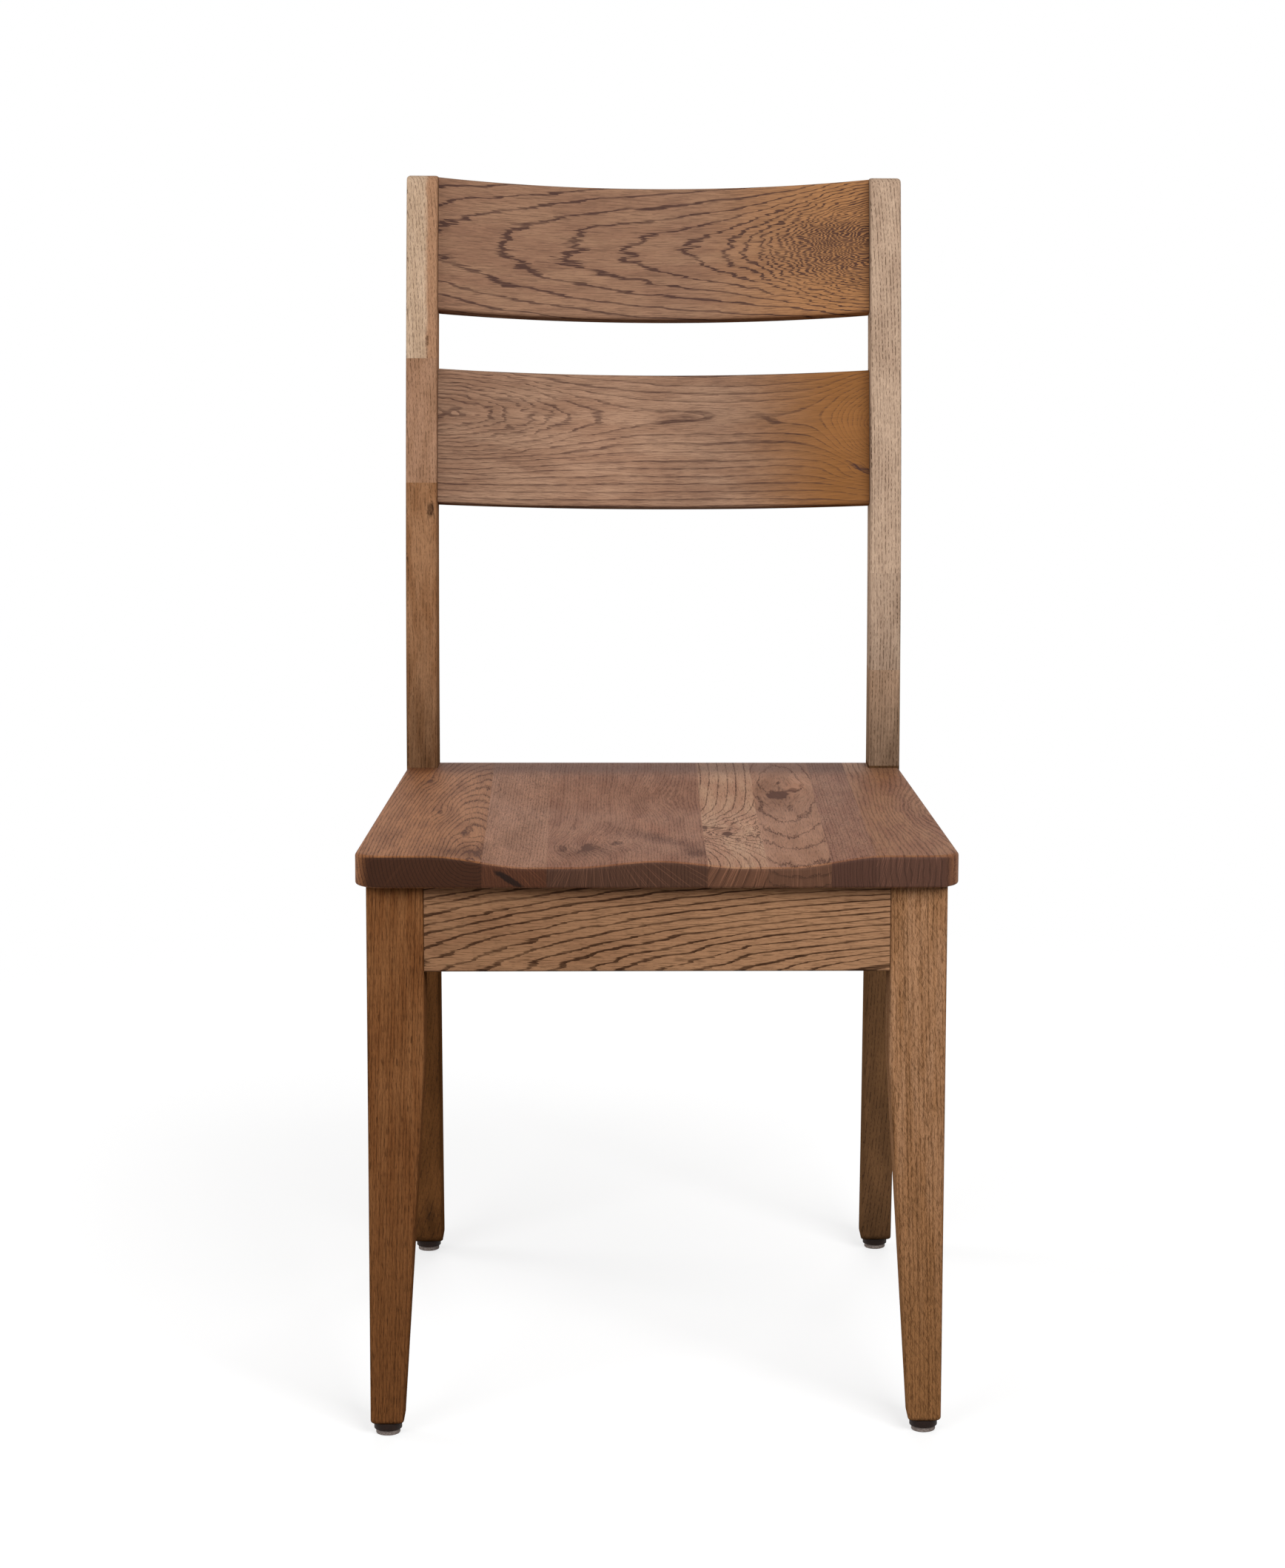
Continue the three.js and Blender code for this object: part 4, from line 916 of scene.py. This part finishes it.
def scoop(x, y):
    """Depth of the saddle: two thigh hollows with a crest between them at the front, turning
    into one bowl behind, which fades out before the rear edge."""
    run = y - SEAT_FRONT
    out = np.abs(x) - HOLLOW_CENTRE
    bank = 1 - smoothstep(out, HOLLOW_FLAT, HOLLOW_FLAT + HOLLOW_BANK)
    crest = 1 - smoothstep(np.abs(x), 0, HOLLOW_CENTRE - HOLLOW_FLAT)
    front = bank * (HOLLOW_DEPTH - (HOLLOW_DEPTH - POMMEL_DEPTH) * crest)
    bowl = BOWL_DEPTH * (1 - smoothstep(np.abs(x), BOWL_FLAT, BOWL_FLAT + BOWL_BANK))
    to_bowl = smoothstep(run, 0, POMMEL_END)
    fade = 1 - smoothstep(run, SCOOP_FADE_START, SCOOP_FADE_END)
    return (front * (1 - to_bowl) + bowl * to_bowl) * fade


# Glue lines between the staves, in millimetres from the middle, at the front and rear edges
GLUE_LINES = [
    (-134.5, -142.5), (-85, -92), (38.2, 38.4), (84.7, 85.2), (133.1, 137.5), (167.3, 170)]


def glue_line(front, rear):
    """A function of the depth: straight from its place at the front edge to the rear."""
    return lambda y: MM * (front + (rear - front) * (y - SEAT_FRONT) / (SEAT_BACK - SEAT_FRONT))


def seat_rows():
    """Rows from front to back: fine round the front corners and at the rear edge."""
    corner = CORNER_Y - SEAT_CORNER * np.cos(np.linspace(0, math.pi / 2, CORNER_STEPS + 1))
    before = np.linspace(CORNER_Y, NOTCH_Y, RUN_STEPS + 1)[1:]
    after = np.linspace(NOTCH_Y, SEAT_BACK - SEAT_TOP_EDGE, NOTCH_STEPS + 1)[1:-1]
    rear = SEAT_BACK - SEAT_TOP_EDGE * (1 - np.sin(QUARTER))
    return np.concatenate([corner, before, after, rear])


def spread(start, end, count):
    """Columns from one line to another: start plus equal shares of the way to end."""
    return start[:, None] + (end - start)[:, None] * np.linspace(0, 1, count + 1)


def stave_columns(left, right, outer):
    """Columns between a stave's sides: evenly spread, in two runs where a leg notch parts them,
    and fine along the seat's outer edge. outer is -1 or 1 for the stave with that edge, or 0."""
    lines = [left, right]
    if outer:
        lines.insert(1, np.full_like(left, outer * NOTCH_X))
    rim = SEAT_TOP_EDGE * (1 - np.cos(QUARTER))
    runs = []
    for start, end in zip(lines, lines[1:]):
        count = max(2, round(float(np.abs(end - start).max()) / COLUMN_WIDTH))
        if outer < 0 and start is left:
            inner = spread(start + SEAT_TOP_EDGE, end, count)
            run = np.hstack([start[:, None] + rim, inner[:, 1:]])
        elif outer > 0 and end is right:
            inner = spread(start, end - SEAT_TOP_EDGE, count)
            run = np.hstack([inner[:, :-1], end[:, None] - rim[::-1]])
        else:
            run = spread(start, end, count)
        runs.append(run[:, 1:] if runs else run)
    return np.hstack(runs)


def stave(number, left, right, outer):
    """Closed body between the scooped top and the flat underside over one stave's outline, with
    the corner that the rear leg fills left out. Only the points that its faces use are kept."""
    rows = seat_rows()
    x = stave_columns(left(rows), right(rows), outer)
    y = np.broadcast_to(rows[:, None], x.shape)
    distance = edge_distance(x, y)
    top = seat_plane(y) - scoop(x, y) - eased(distance, SEAT_TOP_EDGE)
    under = underside(y) + eased(distance, SEAT_UNDER_EDGE)
    points = np.stack([np.stack([x, y, z], axis=-1) for z in (top, under)]).reshape(-1, 3)
    solid = np.ones((x.shape[0] - 1, x.shape[1] - 1), bool)
    if outer:
        middle = (x[:-1, :-1] + x[:-1, 1:] + x[1:, :-1] + x[1:, 1:]) / 4
        behind = (rows[:-1] > NOTCH_Y - HAIR)[:, None]
        solid &= ~(behind & (outer * middle > NOTCH_X))
    faces = slab_faces(solid)
    front = np.array([SEAT_FRONT])
    centre = (left(front) + right(front))[0] / 2
    board = np.column_stack(
        [points[:, 1] - SEAT_FRONT, points[:, 0] - centre, SEAT_HEIGHT - points[:, 2]])
    used = np.unique(faces)
    renumber = np.zeros(len(points), int)
    renumber[used] = np.arange(len(used))
    made(f"seat_stave_{number}", points[used], renumber[faces].tolist(), board[used],
         STAVE_OAK[number], smooth_angle=50)


def slab_faces(solid):
    """Quads of the top, of the underside and of the walls round the solid cells of a grid."""
    rows, columns = solid.shape
    index = np.arange((rows + 1) * (columns + 1)).reshape(rows + 1, columns + 1)
    under = index.size
    a, b, c, d = index[:-1, :-1], index[:-1, 1:], index[1:, 1:], index[1:, :-1]
    top = np.stack([a, b, c, d], axis=-1)[solid]
    bottom = np.stack([d, c, b, a], axis=-1)[solid] + under
    padded = np.pad(solid, 1)
    walls = []
    for beyond, start, end in (
        (padded[:-2, 1:-1], a, b),
        (padded[2:, 1:-1], c, d),
        (padded[1:-1, :-2], d, a),
        (padded[1:-1, 2:], b, c),
    ):
        rim = solid & ~beyond
        start, end = start[rim], end[rim]
        walls.append(np.stack([end, start, start + under, end + under], axis=-1))
    return np.concatenate([top, bottom, *walls])


# ---------------- glides

TURN_STEPS = 48
CUP_MOUTH = 0.3 * MM  # rounding inside the cup's mouth,
CUP_FOOT = 0.6 * MM  # outside it
CUP_TOP = 0.6 * MM  # and at the top,
CUP_TOP_DROP = 0.5 * MM  # whose centre lies this far below the top
PAD_EDGE = 0.8 * MM


def turned(node, profile, centre, finish, kind):
    """Body of revolution: each profile point carried round a full circle at its radius. The
    profile starts and ends on the axis."""
    profile = np.array(profile)
    inner = profile[1:-1]
    angle = np.linspace(0, 2 * math.pi, TURN_STEPS, endpoint=False)
    circle = np.stack([np.cos(angle), np.sin(angle)], axis=-1)
    rings = inner[:, None, :1] * circle
    origin = np.zeros(len(inner))
    tips = [[0, 0, profile[0, 1]], [0, 0, profile[-1, 1]]]
    points = np.concatenate([lofted(rings, origin, origin, inner[:, 1]), tips])
    around = np.arange(TURN_STEPS)
    following = np.roll(around, -1)
    tip = np.full(TURN_STEPS, len(rings) * TURN_STEPS)
    last = (len(rings) - 1) * TURN_STEPS
    first_cap = np.stack([tip, following, around], axis=-1)
    last_cap = np.stack([tip + 1, last + around, last + following], axis=-1)
    faces = tube_faces(len(rings), TURN_STEPS)[:-2] + first_cap.tolist() + last_cap.tolist()
    points = points + np.array([centre.x, centre.y, 0])
    made(node, points, faces, points, finish, kind)


def arc_profile(centre_radius, centre_height, radius, start, end, steps=6):
    """Points of an arc in a profile, from one angle to another."""
    angle = np.radians(np.linspace(start, end, steps + 1))
    return np.stack([centre_radius + radius * np.cos(angle),
                     centre_height + radius * np.sin(angle)], axis=-1).tolist()


def glide(end, hand, plastic, felt):
    """The cup under a leg with its rounded rim, and the felt pad that fills it."""
    cup_node, pad_node = f"glide_cup_{end}_{hand}", f"felt_pad_{end}_{hand}"
    low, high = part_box(cup_node)
    pad_low, pad_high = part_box(pad_node)
    centre = (low + high) / 2
    radius = (high.x - low.x) / 2
    pad_radius = (pad_high.x - pad_low.x) / 2
    bore = pad_radius + FIT
    roof = pad_high.z + FIT
    cup = [(0, roof), (bore, roof), (bore, low.z + CUP_MOUTH)]
    cup += arc_profile(bore + CUP_MOUTH, low.z + CUP_MOUTH, CUP_MOUTH, 180, 270, 3)
    cup += arc_profile(radius - CUP_FOOT, low.z + CUP_FOOT, CUP_FOOT, 270, 345)
    cup += arc_profile(radius - CUP_TOP, high.z - CUP_TOP_DROP, CUP_TOP, 0, 70)
    cup += [(0, high.z)]
    turned(cup_node, cup, centre, plastic, "moulded")
    pad = [(0, pad_low.z)]
    pad += arc_profile(pad_radius - PAD_EDGE, pad_low.z + PAD_EDGE, PAD_EDGE, 270, 360)
    pad += [(pad_radius, pad_high.z), (0, pad_high.z)]
    turned(pad_node, pad, centre, felt, "pressed")


# ---------------- the chair

for hand, side in SIDES.items():
    front_leg(hand, side)
    rear_leg(hand, side)
    side_apron(hand, side)

FRONT_APRON_FACE = FRONT_FACE + APRON_SETBACK
FRONT_APRON_BACK = FRONT_APRON_FACE + APRON_THICK
REAR_APRON_FACE = REAR_FACE + REAR_APRON_INSET
REAR_APRON_BACK = REAR_APRON_FACE + REAR_APRON_THICK
cross_apron("front_apron", FRONT_APRON_OAK, FRONT_INNER - FIT, FRONT_APRON_FACE,
            FRONT_APRON_BACK, apron_bottom(FRONT_FACE), apron_top(FRONT_APRON_BACK))
cross_apron("rear_apron", REAR_APRON_OAK, REAR_INNER - FIT, REAR_APRON_FACE,
            REAR_APRON_BACK, apron_bottom(REAR_FACE), apron_top(REAR_APRON_BACK))

top_slat_foot = slat("top_slat", BACK_TOP - SLAT_TOP_DROP, TOP_SLAT_LEAN, TOP_SLAT_OAK)
slat("lower_slat", top_slat_foot - SLAT_SPACE, LOWER_SLAT_LEAN, LOWER_SLAT_OAK)

edges = [lambda y: -seat_half(y), *[glue_line(*ends) for ends in GLUE_LINES], seat_half]
for number, (left, right) in enumerate(zip(edges, edges[1:]), 1):
    stave(number, left, right, outer=(right is seat_half) - (number == 1))

PLASTIC = brown_plastic()
FELT = grey_felt()
BLOCK = block_oak()
STEEL = zinc_steel()
for end in ("front", "rear"):
    for hand in SIDES:
        glide(end, hand, PLASTIC, FELT)
        for kind, finish in (("corner_block", BLOCK), ("seat_screw", STEEL),
                             ("block_screw", STEEL), ("glide_nail", STEEL)):
            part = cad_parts[f"{kind}_{end}_{hand}"]
            part.data.materials.clear()
            part.data.materials.append(finish)

# ---------------- stage, light and camera

WHITE = (1, 1, 1, 1)
AMBIENT = 0.36  # strength of the light from all round
FLOOR_HALF = 30
FLOOR_BOUNCE = (0.16, 0.15, 0.14, 1)  # colour of the floor for the light that it throws back
FLOOR_PALE = (0.42, 0.42, 0.42, 1)  # its colour for the eye, near the chair,
FLOOR_GLOW = 0.62  # and the white light that is added to that
FLOOR_NEAR, FLOOR_FAR = 0.5, 1.7  # distances between which it turns plain white

# Lamps: place, target, size, power in watts, and whether they give highlights.
LAMPS = {
    "key": ((1.3, -2.8, 2.3), (0, 0, 0.5), 1.8, 91, True),
    "fill": ((-1.9, -2.7, 1.7), (0, 0, 0.5), 1.8, 40, True),
    "side": ((-3.2, 1.2, 0.8), (0, 0.3, 0.7), 1.4, 45, False),
    "rear": ((0.3, 3.3, 1.3), (0, 0, 0.6), 2.2, 60, False),
}

EYE = (-23.161 * MM, FRONT_FACE - 2661.762 * MM, 970.261 * MM)
EYE_PITCH, EYE_YAW, EYE_ROLL = math.radians(7.675), math.radians(1.93), math.radians(0.319)
LENS, SENSOR = 80.957, 36
SHIFT_X, SHIFT_Y = -0.0657, -0.0767


def pale_floor():
    """Floor that looks white. Near the chair part of the white is light that falls on it, so the
    chair's shadow shows; it bounces little light."""
    ground = Finish(bpy.data.materials.new("pale_floor"))
    dull = ground.node("ShaderNodeBsdfDiffuse", inputs={"Color": FLOOR_BOUNCE})
    white = ground.node("ShaderNodeEmission", inputs={"Color": WHITE, "Strength": 1.0})
    pale = ground.node("ShaderNodeBsdfDiffuse", inputs={"Color": FLOOR_PALE})
    glow = ground.node("ShaderNodeEmission", inputs={"Color": WHITE, "Strength": FLOOR_GLOW})
    lit = ground.node("ShaderNodeAddShader", inputs={0: pale, 1: glow})
    x, y, _ = ground.split(ground.place())
    near = ground.rise(ground.math("SQRT", x * x + y * y), FLOOR_FAR, FLOOR_NEAR)
    shown = ground.node("ShaderNodeMixShader", inputs={0: near, 1: white, 2: lit})
    inputs = {0: ground.seen(), 1: dull, 2: shown}
    return ground.end(ground.node("ShaderNodeMixShader", inputs=inputs))


def floor():
    """A flat square of floor, far larger than the chair."""
    mesh = bpy.data.meshes.new("floor")
    corners = np.array([[-1, -1, 0], [1, -1, 0], [1, 1, 0], [-1, 1, 0]]) * FLOOR_HALF
    mesh.from_pydata(corners.tolist(), [], [[0, 1, 2, 3]])
    mesh.materials.append(pale_floor())
    ground = bpy.data.objects.new("floor", mesh)
    bpy.context.scene.collection.objects.link(ground)


def surroundings():
    """Even pale light from all round, white where it is seen directly or in a reflection."""
    air = Finish(bpy.data.worlds.new("studio"))
    soft = air.node("ShaderNodeBackground", inputs={"Color": WHITE, "Strength": AMBIENT})
    white = air.node("ShaderNodeBackground", inputs={"Color": WHITE, "Strength": 1.0})
    shader = air.node("ShaderNodeMixShader", inputs={0: air.seen(), 1: soft, 2: white})
    bpy.context.scene.world = air.end(shader, "World")


def softbox(name, place, target, size, power, mirrored):
    """A square lamp at a place, facing a target. One that isn't mirrored gives no highlights."""
    lamp = bpy.data.lights.new(name, "AREA")
    lamp.shape = "SQUARE"
    lamp.size = size
    lamp.energy = power
    holder = bpy.data.objects.new(name, lamp)
    holder.location = place
    direction = holder.location - Vector(target)
    holder.rotation_euler = direction.to_track_quat("Z", "Y").to_euler()
    holder.visible_glossy = mirrored
    bpy.context.scene.collection.objects.link(holder)


def camera():
    """Eye as high as the chair, well in front of it, looking slightly down and a little to the
    right, with the picture's window moved back over the chair."""
    lens = bpy.data.cameras.new("eye")
    lens.lens = LENS
    lens.sensor_width = SENSOR
    lens.shift_x = SHIFT_X
    lens.shift_y = SHIFT_Y
    lens.clip_end = 100
    eye = bpy.data.objects.new("eye", lens)
    eye.location = EYE
    turn = Matrix.Rotation(-EYE_YAW, 3, "Z") @ Matrix.Rotation(math.pi / 2 - EYE_PITCH, 3, "X")
    eye.rotation_euler = (turn @ Matrix.Rotation(EYE_ROLL, 3, "Z")).to_euler()
    bpy.context.scene.collection.objects.link(eye)
    bpy.context.scene.camera = eye


floor()
surroundings()
for name, settings in LAMPS.items():
    softbox(name, *settings)
camera()
bpy.context.scene.view_settings.view_transform = "Standard"
